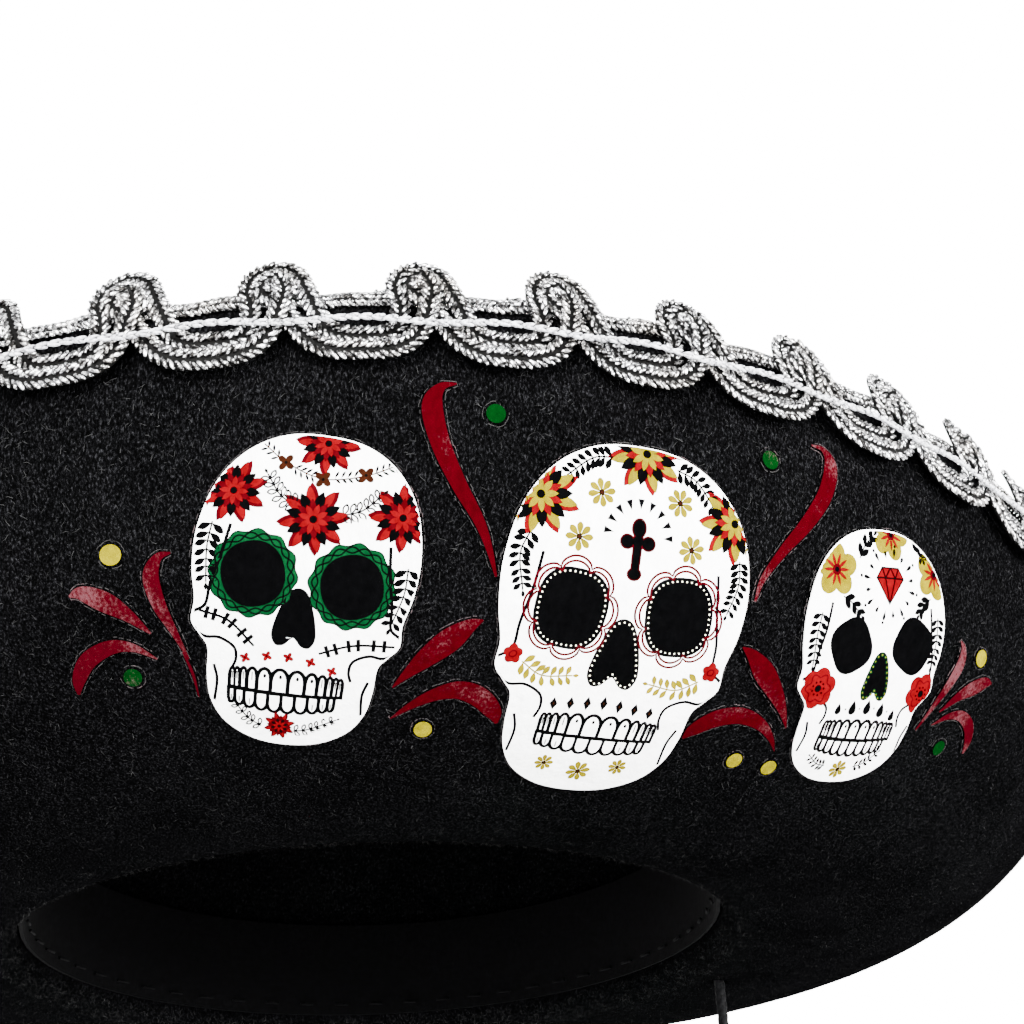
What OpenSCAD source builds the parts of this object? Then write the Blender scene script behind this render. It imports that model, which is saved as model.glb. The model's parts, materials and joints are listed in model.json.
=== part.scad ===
// Felt sombrero with a rolled-up brim, scroll braid on the rim, printed decals and a chin cord.
// Millimetres, +Z up. Origin: centre of the head opening, on the plane of its lower edge.
// The front of the hat faces -Y and the wearer's left is +X. Angles run from the front towards +X.

/* [Head opening] */
// Half width of the head opening, side to side
head_half_w = 88; // [80:1:96]
// Half length of the head opening, front to back
head_half_l = 100; // [92:1:108]

/* [Brim] */
// Width of the brim, measured along its curve
brim_arc = 131; // [110:0.5:150]
// Slope of the brim where it leaves the opening, below level
brim_start_slope = 10; // [0:1:20]
// Slope of the brim at its rim, above level
brim_end_slope = 94; // [70:1:100]
// How late the brim turns upwards
brim_turn = 1.25; // [1:0.05:2]
// How much narrower the brim stands in plan at front and back
brim_narrow = 14; // [0:1:20]
// How much higher the rim is at front and back
brim_lift = 8; // [0:1:20]
// Thickness of the felt
felt_t = 2.5; // [2:0.1:3.5]
// Height of the collar that the crown is sewn to
collar_h = 16; // [12:1:20]

/* [Crown] */
// Height of the crown above the head opening
crown_h = 150; // [120:1:170]
// Depth of the two dents beside the front of the crown, as a share of its radius
crown_dent = 0.1; // [0:0.01:0.2]

/* [Sweatband] */
// Thickness of the sweatband
sweat_t = 0.8; // [0.5:0.1:1.2]
// Height of the sweatband
sweat_h = 28; // [20:1:35]

/* [Braid] */
// Width of each tape in the braid
tape_w = 3.2; // [2.4:0.1:4]
// Thickness of each tape
tape_t = 0.9; // [0.6:0.1:1.2]
// Distance of the braid's middle line below the rim
braid_drop = 5; // [2:0.5:6]
// How far each tape swings to either side of the middle line
braid_swing = 7; // [6:0.1:9]
// Scrolls round the rim
rim_scrolls = 44; // [36:1:50]
// Scrolls round the crown
crown_scrolls = 23; // [19:1:27]
// Height of the crown braid's middle line
hatband_z = 20; // [18:1:26]

/* [Decals] */
// Height of the middle skull decal
skull_h = 70; // [60:1:76]
// Width of the middle skull decal
skull_w = 46; // [40:1:50]
// Distance of the middle skull's centre from the opening, along the brim
skull_at = 75.5; // [72:0.5:80]
// Height of each outer skull decal
side_skull_h = 56; // [48:1:62]
// Width of each outer skull decal
side_skull_w = 38; // [34:1:42]
// Distance of the outer skulls' centres from the opening, along the brim
side_skull_at = 80.5; // [76:0.5:86]
// Angle from the middle skull to each outer one
skull_step = 19.3; // [18:0.1:22]
// Lean of each outer skull, its top towards the middle
side_lean = 9; // [0:1:14]
// Thickness of the decal film
film_t = 0.2; // [0.1:0.05:0.3]

/* [Chin cord] */
// Diameter of the cord
cord_d = 3; // [2.4:0.1:4]
// Distance of the cord holes from the opening's edge
hole_at = 12; // [9:1:16]
// Height of the slider's top below the opening
slider_top = 88; // [70:1:100]
// Length of the slider
slider_l = 16; // [12:1:20]
// Distance of the tail knots below the opening
tail_end = 134; // [120:1:138]
// Half the distance between the two tails
tail_x = 4; // [3.8:0.1:5]

/* [Hidden] */
$fn = 48;
e0 = 0.5;                 // air between neighbouring layers
film_gap = 0.3;            // air under a decal film
n_round = 76;             // steps round the brim
n_crown = 60;             // steps round the crown
n_arc = 48;               // steps used to add up the brim's curve
chart_r = 168;            // radius at which the decals' widths are true
felt_black = [0.03, 0.03, 0.035];
silver = [0.75, 0.76, 0.78];
cord_black = [0.02, 0.02, 0.02];
red = [0.55, 0.06, 0.12];

// The brim's curve, added up from its slope
function slope(t) = -brim_start_slope + (brim_start_slope + brim_end_slope) * pow(t, brim_turn);
run = [for (i = 0, x = 0; i <= n_arc; x = x + cos(slope((i + 0.5) / n_arc)) / n_arc, i = i + 1) x];
rise = [for (i = 0, x = 0; i <= n_arc; x = x + sin(slope((i + 0.5) / n_arc)) / n_arc, i = i + 1) x];
function at(v, t) = let (u = min(max(t, 0), 1) * n_arc, i = min(floor(u), n_arc - 1))
    v[i] + (v[i + 1] - v[i]) * (u - i);

function r_open(a) = 1 / sqrt(pow(sin(a) / head_half_w, 2) + pow(cos(a) / head_half_l, 2));
function spin(a, q) = [q[0] * sin(a), -q[0] * cos(a), q[1]];
// A point h outside the brim's lower face, at arc length s from the opening, as radius and height
function under(a, s, h) = let (t = s / brim_arc, k = cos(2 * a), g = slope(min(t, 1)))
    [r_open(a) + brim_arc * at(run, t) - brim_narrow * k * t + h * sin(g),
     brim_arc * at(rise, t) + brim_lift * k * t * t - h * cos(g)];
function on_brim(a, s, h) = spin(a, under(a, s, h));
// The same past the rim, where the braid curls over on radius c; w counts up from its middle line
function on_rim(a, w, h, c) = w <= braid_drop ? on_brim(a, brim_arc - braid_drop + w, h)
    : let (b = (w - braid_drop) / c * 180 / PI, g = brim_end_slope, p = under(a, brim_arc, h))
      spin(a, p + c * [sin(b) * cos(g) - (1 - cos(b)) * sin(g), sin(b) * sin(g) + (1 - cos(b)) * cos(g)]);

// A closed band of sections, each a closed loop of the same number of points
module ring_of(sections) {
    n = len(sections);
    m = len(sections[0]);
    polyhedron(points = [for (s = sections) for (p = s) p],
        faces = [for (i = [0:n - 1]) for (j = [0:m - 1])
            let (i2 = (i + 1) % n, j2 = (j + 1) % m)
            each [[i * m + j, i2 * m + j, i2 * m + j2], [i * m + j, i2 * m + j2, i * m + j2]]]);
}
// The same with two flat ends
module run_of(sections) {
    n = len(sections);
    m = len(sections[0]);
    polyhedron(points = [for (s = sections) for (p = s) p],
        faces = [each [for (i = [0:n - 2]) for (j = [0:m - 1]) let (j2 = (j + 1) % m)
            each [[i * m + j, (i + 1) * m + j, (i + 1) * m + j2], [i * m + j, (i + 1) * m + j2, i * m + j2]]],
            [for (j = [0:m - 1]) j], [for (j = [m - 1:-1:0]) (n - 1) * m + j]]);
}

// One section of the brim: lip, collar, upper face, rounded rim and lower face
function brim_loop(a) = let (r = r_open(a), c = felt_t / 2)
    [each [for (k = [0:3]) let (b = k * 30) [r + 5 - 5 * sin(b), 4.4 - 5.1 * cos(b)]],
     [r, collar_h], [r + felt_t, collar_h], [r + felt_t, 4.2], [r + felt_t + 1.2, 2.6],
     each [for (k = [1:11]) under(a, brim_arc * k / 11, -felt_t)],
     each [for (k = [1:3]) let (b = k * 45, p = under(a, brim_arc, -c), g = brim_end_slope)
         p + c * [sin(b) * cos(g) - cos(b) * sin(g) , sin(b) * sin(g) + cos(b) * cos(g)]],
     each [for (k = [12:-1:1]) under(a, max(brim_arc * k / 12, 5), 0)]];

module brim() {
    color(felt_black) difference() {
        ring_of([for (i = [0:n_round - 1]) let (a = i * 360 / n_round)
            [for (q = brim_loop(a)) spin(a, q)]]);
        for (x = [-1, 1]) translate([x * (head_half_w + hole_at), 0, -12])
            cylinder(r = cord_d / 2 + 0.6, h = 24);
    }
}

// The crown's wall: straight at its foot, then a rounded taper with two dents at the front
foot_z = 5;
taper_z = 16;
function dent(a, z) = 1 - crown_dent * exp(-pow((z - 96) / 26, 2))
    * (exp(-pow((a - 34) / 17, 2)) + exp(-pow((a + 34) / 17, 2)));
function crown_at(a, b, h) = let (r = r_open(a) + felt_t + e0 + h,
        z = taper_z + (crown_h - felt_t + h - taper_z) * pow(sin(b), 1.3))
    [r * pow(cos(b), 0.55) * dent(a, z), z];
function signed(a) = a > 180 ? a - 360 : a;
n_wall = 10;
module crown() {
    // One wall surface, h outside the inner one: from the foot up to just below the tip
    function wall(h) = [for (i = [0:n_crown - 1]) let (a = signed(i * 360 / n_crown)) each
        [for (k = [-1:n_wall - 1])
            spin(a, k < 0 ? [r_open(a) + felt_t + e0 + h, foot_z] : crown_at(a, k * 90 / n_wall, h))]];
    m = n_wall + 1;
    n = n_crown;
    top_o = 2 * n * m;
    color(felt_black)
    polyhedron(points = concat(wall(felt_t), wall(0), [[0, 0, crown_h], [0, 0, crown_h - felt_t]]),
        faces = [for (i = [0:n - 1]) let (o = i * m, o2 = (i + 1) % n * m, q = o + n * m, q2 = o2 + n * m) each concat(
            [for (j = [0:m - 2]) each [[o + j, o2 + j + 1, o2 + j], [o + j, o + j + 1, o2 + j + 1]]],
            [for (j = [0:m - 2]) each [[q + j, q2 + j, q2 + j + 1], [q + j, q2 + j + 1, q + j + 1]]],
            [[o + m - 1, top_o, o2 + m - 1], [q + m - 1, q2 + m - 1, top_o + 1], [o, o2, q], [o2, q2, q]])]);
}

// Short straight stitches laid round an oval
module stitches(out, z, count, long) {
    for (i = [0:count - 1]) let (a = (i + 0.5) * 360 / count, r = r_open(a) + out,
        dr = (r_open(a + 1) - r_open(a - 1)) / 2 * 180 / PI)
        translate([r * sin(a), -r * cos(a), z]) rotate([0, 0, a + atan2(dr, r)])
            rotate([0, 90, 0]) cylinder(r = 0.35, h = long, center = true, $fn = 24);
}
module seam_stitch() color(cord_black) stitches(2 * felt_t + e0 + 1, 7.6, 56, 5);
module sweatband() color([0.05, 0.05, 0.05])
    ring_of([for (i = [0:n_crown - 1]) let (a = i * 360 / n_crown, r = r_open(a) - e0)
        [spin(a, [r, 6]), spin(a, [r - sweat_t, 6]), spin(a, [r - sweat_t, 6 + sweat_h]), spin(a, [r, 6 + sweat_h])]]);
module sweatband_stitch() color([0.1, 0.1, 0.1]) stitches(-e0 - sweat_t - 1, 9, 56, 4);

// A tape that swings to and fro about the braid's middle line; side is the section's place on it
function wave(a, n, shift, mid) = mid + braid_swing * cos(n * (a - shift));
function tape_loop(a, n, shift, mid, r, h) = let (
        w = wave(a, n, shift, mid),
        d = (wave(a + 0.2, n, shift, mid) - wave(a - 0.2, n, shift, mid)) / (0.4 * PI / 180 * r),
        q = sqrt(1 + d * d), da = -d / q * tape_w / 2 / r * 180 / PI, dw = tape_w / 2 / q)
    [[a + da, w + dw, h], [a + da, w + dw, h + tape_t], [a - da, w - dw, h + tape_t], [a - da, w - dw, h]];
scroll_at = 4.3;          // angle of one hump of the rim braid
low_mid = -0.5;           // middle of the lower tape's swing, from the braid's middle line
high_mid = 2.9;           // the same for the upper tape
curl_r = 14;              // radius on which the braid leans over beyond the rim
rim_steps = 8;            // steps in one scroll
crown_steps = 6;
thread_h = 3 * e0 + 2 * tape_t + 0.5;  // height of the chain stitch over the felt
module rim_tape(mid, h) color(silver)
    ring_of([for (i = [0:rim_scrolls * rim_steps - 1]) let (a = i * 360 / (rim_scrolls * rim_steps))
        [for (q = tape_loop(a, rim_scrolls, scroll_at, mid, 188, h)) on_rim(q[0], q[1], q[2], curl_r)]]);
module braid_tape_a() rim_tape(low_mid, 2 * e0 + tape_t);
module braid_tape_b() rim_tape(high_mid, e0);
// The binding that closes the felt's edge: a shallow cap over the rim
module rim_binding() color(silver)
    ring_of([for (i = [0:131]) let (a = i * 360 / 132, g = brim_end_slope, p = under(a, brim_arc, -felt_t / 2),
            u = [cos(g), sin(g)], v = [-sin(g), cos(g)])
        [for (q = [[1.1, 1.7], [-1.7, 1.7], [-1.7, 2.3], [1.1, 2.3]]) spin(a, p + u * q[1] - v * q[0])]]);
module braid_thread() color([0.85, 0.85, 0.86])
    ring_of([for (i = [0:3 * rim_scrolls - 1]) let (a = i * 120 / rim_scrolls)
        [for (k = [0:4]) on_brim(a, brim_arc - braid_drop + 0.5 * cos(k * 72), thread_h + 0.5 * sin(k * 72))]]);

// The same braid on the crown
function on_crown(a, z, h) = let (b = z <= taper_z ? 0 : asin(pow((z - taper_z) / (crown_h - taper_z), 1 / 1.3)))
    spin(a, [(r_open(a) + 2 * felt_t + e0) * pow(cos(b), 0.55) + h, z]);
module crown_tape(mid, h) color(silver)
    ring_of([for (i = [0:crown_scrolls * crown_steps - 1]) let (a = i * 360 / (crown_scrolls * crown_steps))
        [for (q = tape_loop(a, crown_scrolls, 0, mid, 99, h)) on_crown(q[0], hatband_z + q[1], q[2])]]);
module hatband_tape_a() crown_tape(low_mid, 2 * e0 + tape_t);
module hatband_tape_b() crown_tape(high_mid, e0);
module hatband_thread() color([0.85, 0.85, 0.86])
    ring_of([for (i = [0:4 * crown_scrolls - 1]) let (a = i * 90 / crown_scrolls)
        [for (k = [0:4]) on_crown(a, hatband_z + 0.5 * cos(k * 72), thread_h + 0.5 * sin(k * 72))]]);

// Decal film: a point of a drawing that is x across and y up, centred at angle a0 and arc s0
function film(a0, s0, x, y, h) = on_brim(a0 + x / chart_r * 180 / PI, s0 + y, film_gap + h);
// The skull's outline: round cranium, cheekbones and a narrower jaw
function skull_edge(b, w0, h0) = let (x = cos(b), y = sin(b),
        w = y > -0.1 ? 1 : 1 - 0.42 * pow((-0.1 - y) / 0.9, 0.6))
    [w0 / 2 * sign(x) * pow(abs(x), 0.8) * w, h0 / 2 * sign(y) * pow(abs(y), 0.85)];
module skull(a0, s0, w0, h0, lean) {
    m = 28;
    k = 6;
    pts = [for (h = [0, film_t]) each concat([film(a0, s0, 0, 0, h)],
        [for (i = [1:k]) for (j = [0:m - 1]) let (q = skull_edge(j * 360 / m, w0, h0) * i / k)
            film(a0, s0, q[0] * cos(lean) - q[1] * sin(lean), q[0] * sin(lean) + q[1] * cos(lean), h)])];
    o = 1 + k * m;
    lower = [for (j = [0:m - 1]) let (j2 = (j + 1) % m) each concat([[0, 1 + j, 1 + j2]],
        [for (i = [0:k - 2]) let (p = 1 + i * m, q = 1 + (i + 1) * m)
            each [[p + j, q + j, q + j2], [p + j, q + j2, p + j2]]])];
    side = [for (j = [0:m - 1]) let (j2 = (j + 1) % m, b = 1 + (k - 1) * m)
        each [[b + j, o + b + j, o + b + j2], [b + j, o + b + j2, b + j2]]];
    color("white") polyhedron(points = pts,
        faces = concat(lower, side, [for (f = lower) [o + f[2], o + f[1], o + f[0]]]));
}
module skull_left() skull(-skull_step, side_skull_at, side_skull_w, side_skull_h, -side_lean);
module skull_centre() skull(0, skull_at, skull_w, skull_h, 0);
module skull_right() skull(skull_step, side_skull_at, side_skull_w, side_skull_h, side_lean);

// A brush stroke from p to r, pulled towards q, each an angle and an arc length
module stroke(p, q, r, w) {
    n = 9;
    run_of([for (i = [0:n]) let (t = 0.04 + 0.92 * i / n,
        c = p * (1 - t) * (1 - t) + q * 2 * t * (1 - t) + r * t * t,
        d = (q - p) * 2 * (1 - t) + (r - q) * 2 * t, dx = d[0] * PI / 180 * chart_r, l = norm([dx, d[1]]),
        v = w / 2 * pow(sin(180 * pow(t, 0.7)), 0.8) * [-d[1] / l * 180 / PI / chart_r, dx / l], u = c + v, o = c - v)
        [on_brim(u[0], u[1], film_gap), on_brim(u[0], u[1], film_gap + film_t),
         on_brim(o[0], o[1], film_gap + film_t), on_brim(o[0], o[1], film_gap)]]);
}
// The strokes between two skulls: a tall hooked one above, a leaf and an arch below
module inner_strokes(s) color(red) {
    stroke([s * 12.5, 118], [s * 12.6, 100], [s * 8.6, 87], 4);
    stroke([s * 9.1, 77.5], [s * 11.2, 75], [s * 14.2, 66], 5);
    stroke([s * 7.2, 58], [s * 10, 70.5], [s * 14.8, 58.5], 4);
}
// The strokes outside the outer skulls, fanning outwards
module outer_strokes(s) color(red) {
    stroke([s * 28.4, 91], [s * 28.8, 84], [s * 27, 76], 3.4);
    stroke([s * 32.9, 88], [s * 30.4, 86], [s * 28.5, 79], 4);
    stroke([s * 33.9, 71.5], [s * 31.6, 82], [s * 28.7, 76], 3.6);
}
module swirls_outer_left() outer_strokes(-1);
module swirls_inner_left() inner_strokes(-1);
module swirls_inner_right() inner_strokes(1);
module swirls_outer_right() outer_strokes(1);

module dot(a, s, d) let (g = slope(s / brim_arc))
    translate(on_brim(a, s, film_gap)) rotate([0, 0, a]) rotate([-g, 0, 0])
        translate([0, 0, -film_t]) cylinder(d = d, h = film_t, $fn = 32);
module dots_yellow() color([0.95, 0.88, 0.1]) {
    for (a = [-30.4, -12.3, 12.3, 30.4]) dot(a, abs(a) > 20 ? 92 : 54.6, 3.6);
    dot(15.6, 54.8, 3.6);
}
module dots_green() color([0.1, 0.42, 0.24])
    for (a = [-30.5, -9, 9, 30.5]) dot(a, abs(a) > 20 ? 70 : 113.2, 3.4);

// Chin cord: out of the brim, in to the slider, then straight down as a tail
hole_x = head_half_w + hole_at;
knot_r = 4.4;
knot_z = felt_t + knot_r;
function cord_point(t) = t < 0.15 ? [hole_x, 0, 3.5 - t / 0.15 * 23.5]
    : t < 0.75 ? let (u = (t - 0.15) / 0.6)
        [tail_x + (hole_x - tail_x) * (1 + cos(180 * u)) / 2, 0, -20 - (slider_top - 23) * u]
    : let (u = (t - 0.75) / 0.25) [tail_x, 0, -(slider_top - 3) - (tail_end - slider_top + 1.6) * u];
module cord(s) color(cord_black) {
    n = 56;
    run_of([for (i = [0:n]) let (p = cord_point(i / n),
        q = cord_point(min(i / n + 0.004, 1)) - cord_point(max(i / n - 0.004, 0)), v = q / norm(q), m = [v[2], 0, -v[0]])
        [for (k = [0:7]) let (b = s * k * 45, c = p + cord_d / 2 * (cos(b) * m + [0, sin(b), 0])) [s * c[0], c[1], c[2]]]]);
}
module chin_cord_left() cord(1);
module chin_cord_right() cord(-1);
module anchor_knot(s) color(cord_black) translate([s * hole_x, 0, knot_z]) sphere(r = knot_r);
module anchor_knot_left() anchor_knot(1);
module anchor_knot_right() anchor_knot(-1);
module cord_slider() color([0.04, 0.04, 0.04]) translate([0, 0, -slider_top - slider_l]) difference() {
    union() {
        for (x = [-tail_x, tail_x]) translate([x, 0, 0]) cylinder(r = 4.5, h = slider_l);
        translate([-tail_x, -4.5, 0]) cube([2 * tail_x, 9, slider_l]);
    }
    for (x = [-tail_x, tail_x]) translate([x, 0, -1]) cylinder(r = cord_d / 2 + 0.35, h = slider_l + 2);
}
module end_knot(s) color(cord_black) translate([s * tail_x, 0, -tail_end]) sphere(r = 3.5);
module end_knot_left() end_knot(1);
module end_knot_right() end_knot(-1);

crown();
brim();
seam_stitch();
sweatband();
sweatband_stitch();
braid_tape_a();
braid_tape_b();
braid_thread();
rim_binding();
hatband_tape_a();
hatband_tape_b();
hatband_thread();
skull_left();
skull_centre();
skull_right();
swirls_outer_left();
swirls_inner_left();
swirls_inner_right();
swirls_outer_right();
dots_yellow();
dots_green();
chin_cord_left();
chin_cord_right();
anchor_knot_left();
anchor_knot_right();
cord_slider();
end_knot_left();
end_knot_right();
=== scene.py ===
"""A felt sombrero with a rolled-up brim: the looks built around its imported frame.

Lengths inside the functions are millimetres, and become metres when a piece is made.
The front faces -Y; an angle runs in radians from the front towards +X.
"""
import json
import math
import random

import bpy
import numpy as np
from mathutils import Matrix, Vector

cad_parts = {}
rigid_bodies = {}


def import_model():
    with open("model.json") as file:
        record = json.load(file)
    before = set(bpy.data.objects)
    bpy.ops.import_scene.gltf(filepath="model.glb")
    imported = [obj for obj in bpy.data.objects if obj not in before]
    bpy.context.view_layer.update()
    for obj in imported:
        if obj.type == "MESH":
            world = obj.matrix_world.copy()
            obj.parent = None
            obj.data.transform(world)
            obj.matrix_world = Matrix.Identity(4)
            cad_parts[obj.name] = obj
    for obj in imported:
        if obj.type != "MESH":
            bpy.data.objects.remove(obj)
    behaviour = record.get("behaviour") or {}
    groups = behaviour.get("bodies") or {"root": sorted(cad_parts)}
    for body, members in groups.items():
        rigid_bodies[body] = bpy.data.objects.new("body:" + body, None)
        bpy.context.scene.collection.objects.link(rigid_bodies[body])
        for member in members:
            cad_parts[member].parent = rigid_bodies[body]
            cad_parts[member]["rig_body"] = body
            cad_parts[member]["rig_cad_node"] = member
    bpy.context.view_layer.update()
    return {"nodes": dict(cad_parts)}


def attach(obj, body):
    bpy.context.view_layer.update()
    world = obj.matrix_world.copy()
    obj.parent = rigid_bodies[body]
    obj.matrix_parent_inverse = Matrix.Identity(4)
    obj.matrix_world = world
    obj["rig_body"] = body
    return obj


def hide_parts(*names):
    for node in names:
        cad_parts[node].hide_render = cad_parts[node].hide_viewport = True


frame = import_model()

MM = 0.001
TAU = 2 * math.pi
rng = random.Random(44)         # every random draw comes from here, in order

# ---- the hat's shape, as the frame has it ----
HEAD_W, HEAD_L = 88, 100
BRIM_ARC = 131
START_SLOPE, END_SLOPE, TURN = 10, 94, 1.25
NARROW, LIFT = 14, 8
FELT = 2.5
RIM_GAP = 5                     # from the braid's middle line to the brim's edge
BRAID_LINE = BRIM_ARC - RIM_GAP
CURL = 40                       # radius on which the braid leans over past the rim
CHART_R = 168                   # radius at which the decals' widths are true
RIM_R, CROWN_R = 188, 99        # mean radii of the rim and of the crown's foot
WIDEST = 200                    # no point of the brim is further out
RIM_REPEATS, BAND_REPEATS = 44, 23
CROWN_H, TAPER_Z, HATBAND_Z = 150, 16, 20
CROWN_RISE, CROWN_ROUND = 1.3, 0.55     # powers of the crown's profile
WALL_GAP = 0.5                  # from the collar to the crown's wall
DENT, DENT_Z, DENT_TALL = 0.1, 96, 26   # the pinches at the front: depth, height, reach
DENT_AT, DENT_WIDE = 34, 17     # and their angle from the front and reach, in degrees
N_ARC = 48                      # steps in which the brim's curve is added up


def slope(t):
    """How steeply the brim rises at the share t of its arc."""
    return math.radians(-START_SLOPE + (START_SLOPE + END_SLOPE) * t ** TURN)


RUN, RISE = [0.0], [0.0]
for step in range(N_ARC):
    g = slope((step + 0.5) / N_ARC)
    RUN.append(RUN[-1] + math.cos(g) / N_ARC)
    RISE.append(RISE[-1] + math.sin(g) / N_ARC)


def along(table, t):
    """The run or rise at the share t of the arc, as shares of its length."""
    u = min(max(t, 0), 1) * N_ARC
    i = min(int(u), N_ARC - 1)
    return table[i] + (table[i + 1] - table[i]) * (u - i)


def opening(a):
    """The head opening's radius."""
    return 1 / math.sqrt((math.sin(a) / HEAD_W) ** 2 + (math.cos(a) / HEAD_L) ** 2)


def under(a, s, h):
    """Radius and height of a point h outside the brim's lower face, at arc length s."""
    t = s / BRIM_ARC
    k = math.cos(2 * a)
    g = slope(min(max(t, 0), 1))
    return (opening(a) + BRIM_ARC * along(RUN, t) - NARROW * k * t + h * math.sin(g),
            BRIM_ARC * along(RISE, t) + LIFT * k * t * t - h * math.cos(g))


def spin(a, r, z):
    """The point at radius r and height z, turned round the hat's axis."""
    return (r * math.sin(a), -r * math.cos(a), z)


def on_brim(a, s, h):
    """A point h outside the brim's lower face, at arc length s."""
    return spin(a, *under(a, s, h))


def on_rim(a, w, h):
    """The same, w above the braid's middle line: past the rim it leans over."""
    if w <= RIM_GAP:
        return on_brim(a, BRAID_LINE + w, h)
    b = (w - RIM_GAP) / CURL
    g = math.radians(END_SLOPE)
    r, z = under(a, BRIM_ARC, h)
    return spin(a, r + CURL * (math.sin(b) * math.cos(g) - (1 - math.cos(b)) * math.sin(g)),
                z + CURL * (math.sin(b) * math.sin(g) + (1 - math.cos(b)) * math.cos(g)))


def crown_reach(a, z):
    """The crown's radius: upright as far as TAPER_Z, then rounding in to its top."""
    up = min(1, max(0, (z - TAPER_Z) / (CROWN_H - TAPER_Z)))
    b = math.asin(up ** (1 / CROWN_RISE))
    return (opening(a) + 2 * FELT + WALL_GAP) * math.cos(b) ** CROWN_ROUND


def on_crown(a, w, h):
    """A point w above the middle line of the crown's braid and h outside its felt."""
    z = HATBAND_Z + w
    return spin(a, crown_reach(a, z) + h, z)


# ---- the camera: low in front of the brim, looking up at its right-hand half ----
CAMERA_AT = (-0.1009, -0.3729, -0.0883)
CAMERA_TURNS = (-0.370, 0.520, -0.040)      # yaw, pitch and roll
LENS, SENSOR = 51.5, 36


def place_camera():
    """Makes the camera from its place and its three turns."""
    yaw, pitch, roll = CAMERA_TURNS
    level = math.cos(pitch)
    look = Vector((-math.sin(yaw) * level, math.cos(yaw) * level, math.sin(pitch)))
    side = Vector((math.cos(yaw), math.sin(yaw), 0))
    up = side.cross(look)
    right = side * math.cos(roll) + up * math.sin(roll)
    top = up * math.cos(roll) - side * math.sin(roll)
    data = bpy.data.cameras.new("camera")
    data.lens = LENS
    data.sensor_width = SENSOR
    data.clip_start = 0.01
    camera = bpy.data.objects.new("camera", data)
    bpy.context.scene.collection.objects.link(camera)
    camera.matrix_world = Matrix((
        (right.x, top.x, -look.x, CAMERA_AT[0]),
        (right.y, top.y, -look.y, CAMERA_AT[1]),
        (right.z, top.z, -look.z, CAMERA_AT[2]),
        (0, 0, 0, 1)))
    bpy.context.scene.camera = camera


place_camera()


# ---- making and naming pieces ----
def only(obj):
    """Makes this the one selected and active object."""
    bpy.ops.object.select_all(action="DESELECT")
    obj.select_set(True)
    bpy.context.view_layer.objects.active = obj


def piece_from(name, points, faces, smooth=True):
    """A piece from points in millimetres."""
    mesh = bpy.data.meshes.new(name)
    mesh.from_pydata([(x * MM, y * MM, z * MM) for x, y, z in points], [], faces)
    mesh.update()
    obj = bpy.data.objects.new(name, mesh)
    bpy.context.scene.collection.objects.link(obj)
    if smooth:
        mesh.polygons.foreach_set("use_smooth", [True] * len(mesh.polygons))
    return obj


def dress(obj, material, slot, body="hat", replaces=()):
    """Gives a piece its finish, its body and the frame's nodes that it stands for."""
    if material is not None:
        obj.data.materials.clear()
        obj.data.materials.append(material)
    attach(obj, body)
    if replaces:
        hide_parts(*replaces)
    return obj


def join(objs, name):
    """Joins objects into one piece of this name."""
    only(objs[0])
    for o in objs[1:]:
        o.select_set(True)
    if len(objs) > 1:
        bpy.ops.object.join()
    obj = bpy.context.view_layer.objects.active
    obj.name = name
    obj.data.name = name
    return obj


def apply_modifier(obj, kind, **settings):
    """Adds a modifier with its settings and applies it."""
    only(obj)
    modifier = obj.modifiers.new(kind.lower(), kind)
    for key, value in settings.items():
        setattr(modifier, key, value)
    bpy.ops.object.modifier_apply(modifier=modifier.name)


# ---- finishes ----
def material(name):
    """A new material, with its nodes, its links and its shader."""
    m = bpy.data.materials.new(name)
    m.use_nodes = True
    return m, m.node_tree.nodes, m.node_tree.links, m.node_tree.nodes["Principled BSDF"]


def noise_on(m, scale, stretch=(1, 1, 1), detail=2.0, rough=0.5, turn=(0, 0, 0)):
    """A noise over the piece's own coordinates, stretched and turned."""
    nodes, links = m.node_tree.nodes, m.node_tree.links
    place = nodes.new("ShaderNodeTexCoord")
    mapping = nodes.new("ShaderNodeMapping")
    mapping.inputs["Scale"].default_value = stretch
    mapping.inputs["Rotation"].default_value = turn
    links.new(place.outputs["Object"], mapping.inputs["Vector"])
    tex = nodes.new("ShaderNodeTexNoise")
    tex.inputs["Scale"].default_value = scale
    tex.inputs["Detail"].default_value = detail
    tex.inputs["Roughness"].default_value = rough
    links.new(mapping.outputs["Vector"], tex.inputs["Vector"])
    return tex.outputs["Fac"]


def ramp_on(m, value, *stops):
    """Turns a value into colour; a stop is a place and a colour, or a place and one grey."""
    nodes, links = m.node_tree.nodes, m.node_tree.links
    ramp = nodes.new("ShaderNodeValToRGB")
    steps = ramp.color_ramp.elements
    while len(steps) < len(stops):
        steps.new(0.5)
    for element, (at, colour) in zip(steps, stops):
        element.position = at
        element.color = (*colour, 1) if len(colour) == 3 else (*[colour[0]] * 3, 1)
    links.new(value, ramp.inputs["Fac"])
    return ramp.outputs["Color"]


def times_on(m, a, b):
    """Two colours multiplied."""
    nodes, links = m.node_tree.nodes, m.node_tree.links
    mix = nodes.new("ShaderNodeMix")
    mix.data_type = "RGBA"
    mix.blend_type = "MULTIPLY"
    mix.inputs["Factor"].default_value = 1.0
    links.new(a, mix.inputs[6])
    links.new(b, mix.inputs[7])
    return mix.outputs[2]


def bump_on(m, height, strength, distance, shader):
    """Raises the surface by a value; the distance is in metres."""
    nodes, links = m.node_tree.nodes, m.node_tree.links
    bump = nodes.new("ShaderNodeBump")
    bump.inputs["Strength"].default_value = strength
    bump.inputs["Distance"].default_value = distance
    links.new(height, bump.inputs["Height"])
    links.new(bump.outputs["Normal"], shader.inputs["Normal"])


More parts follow.
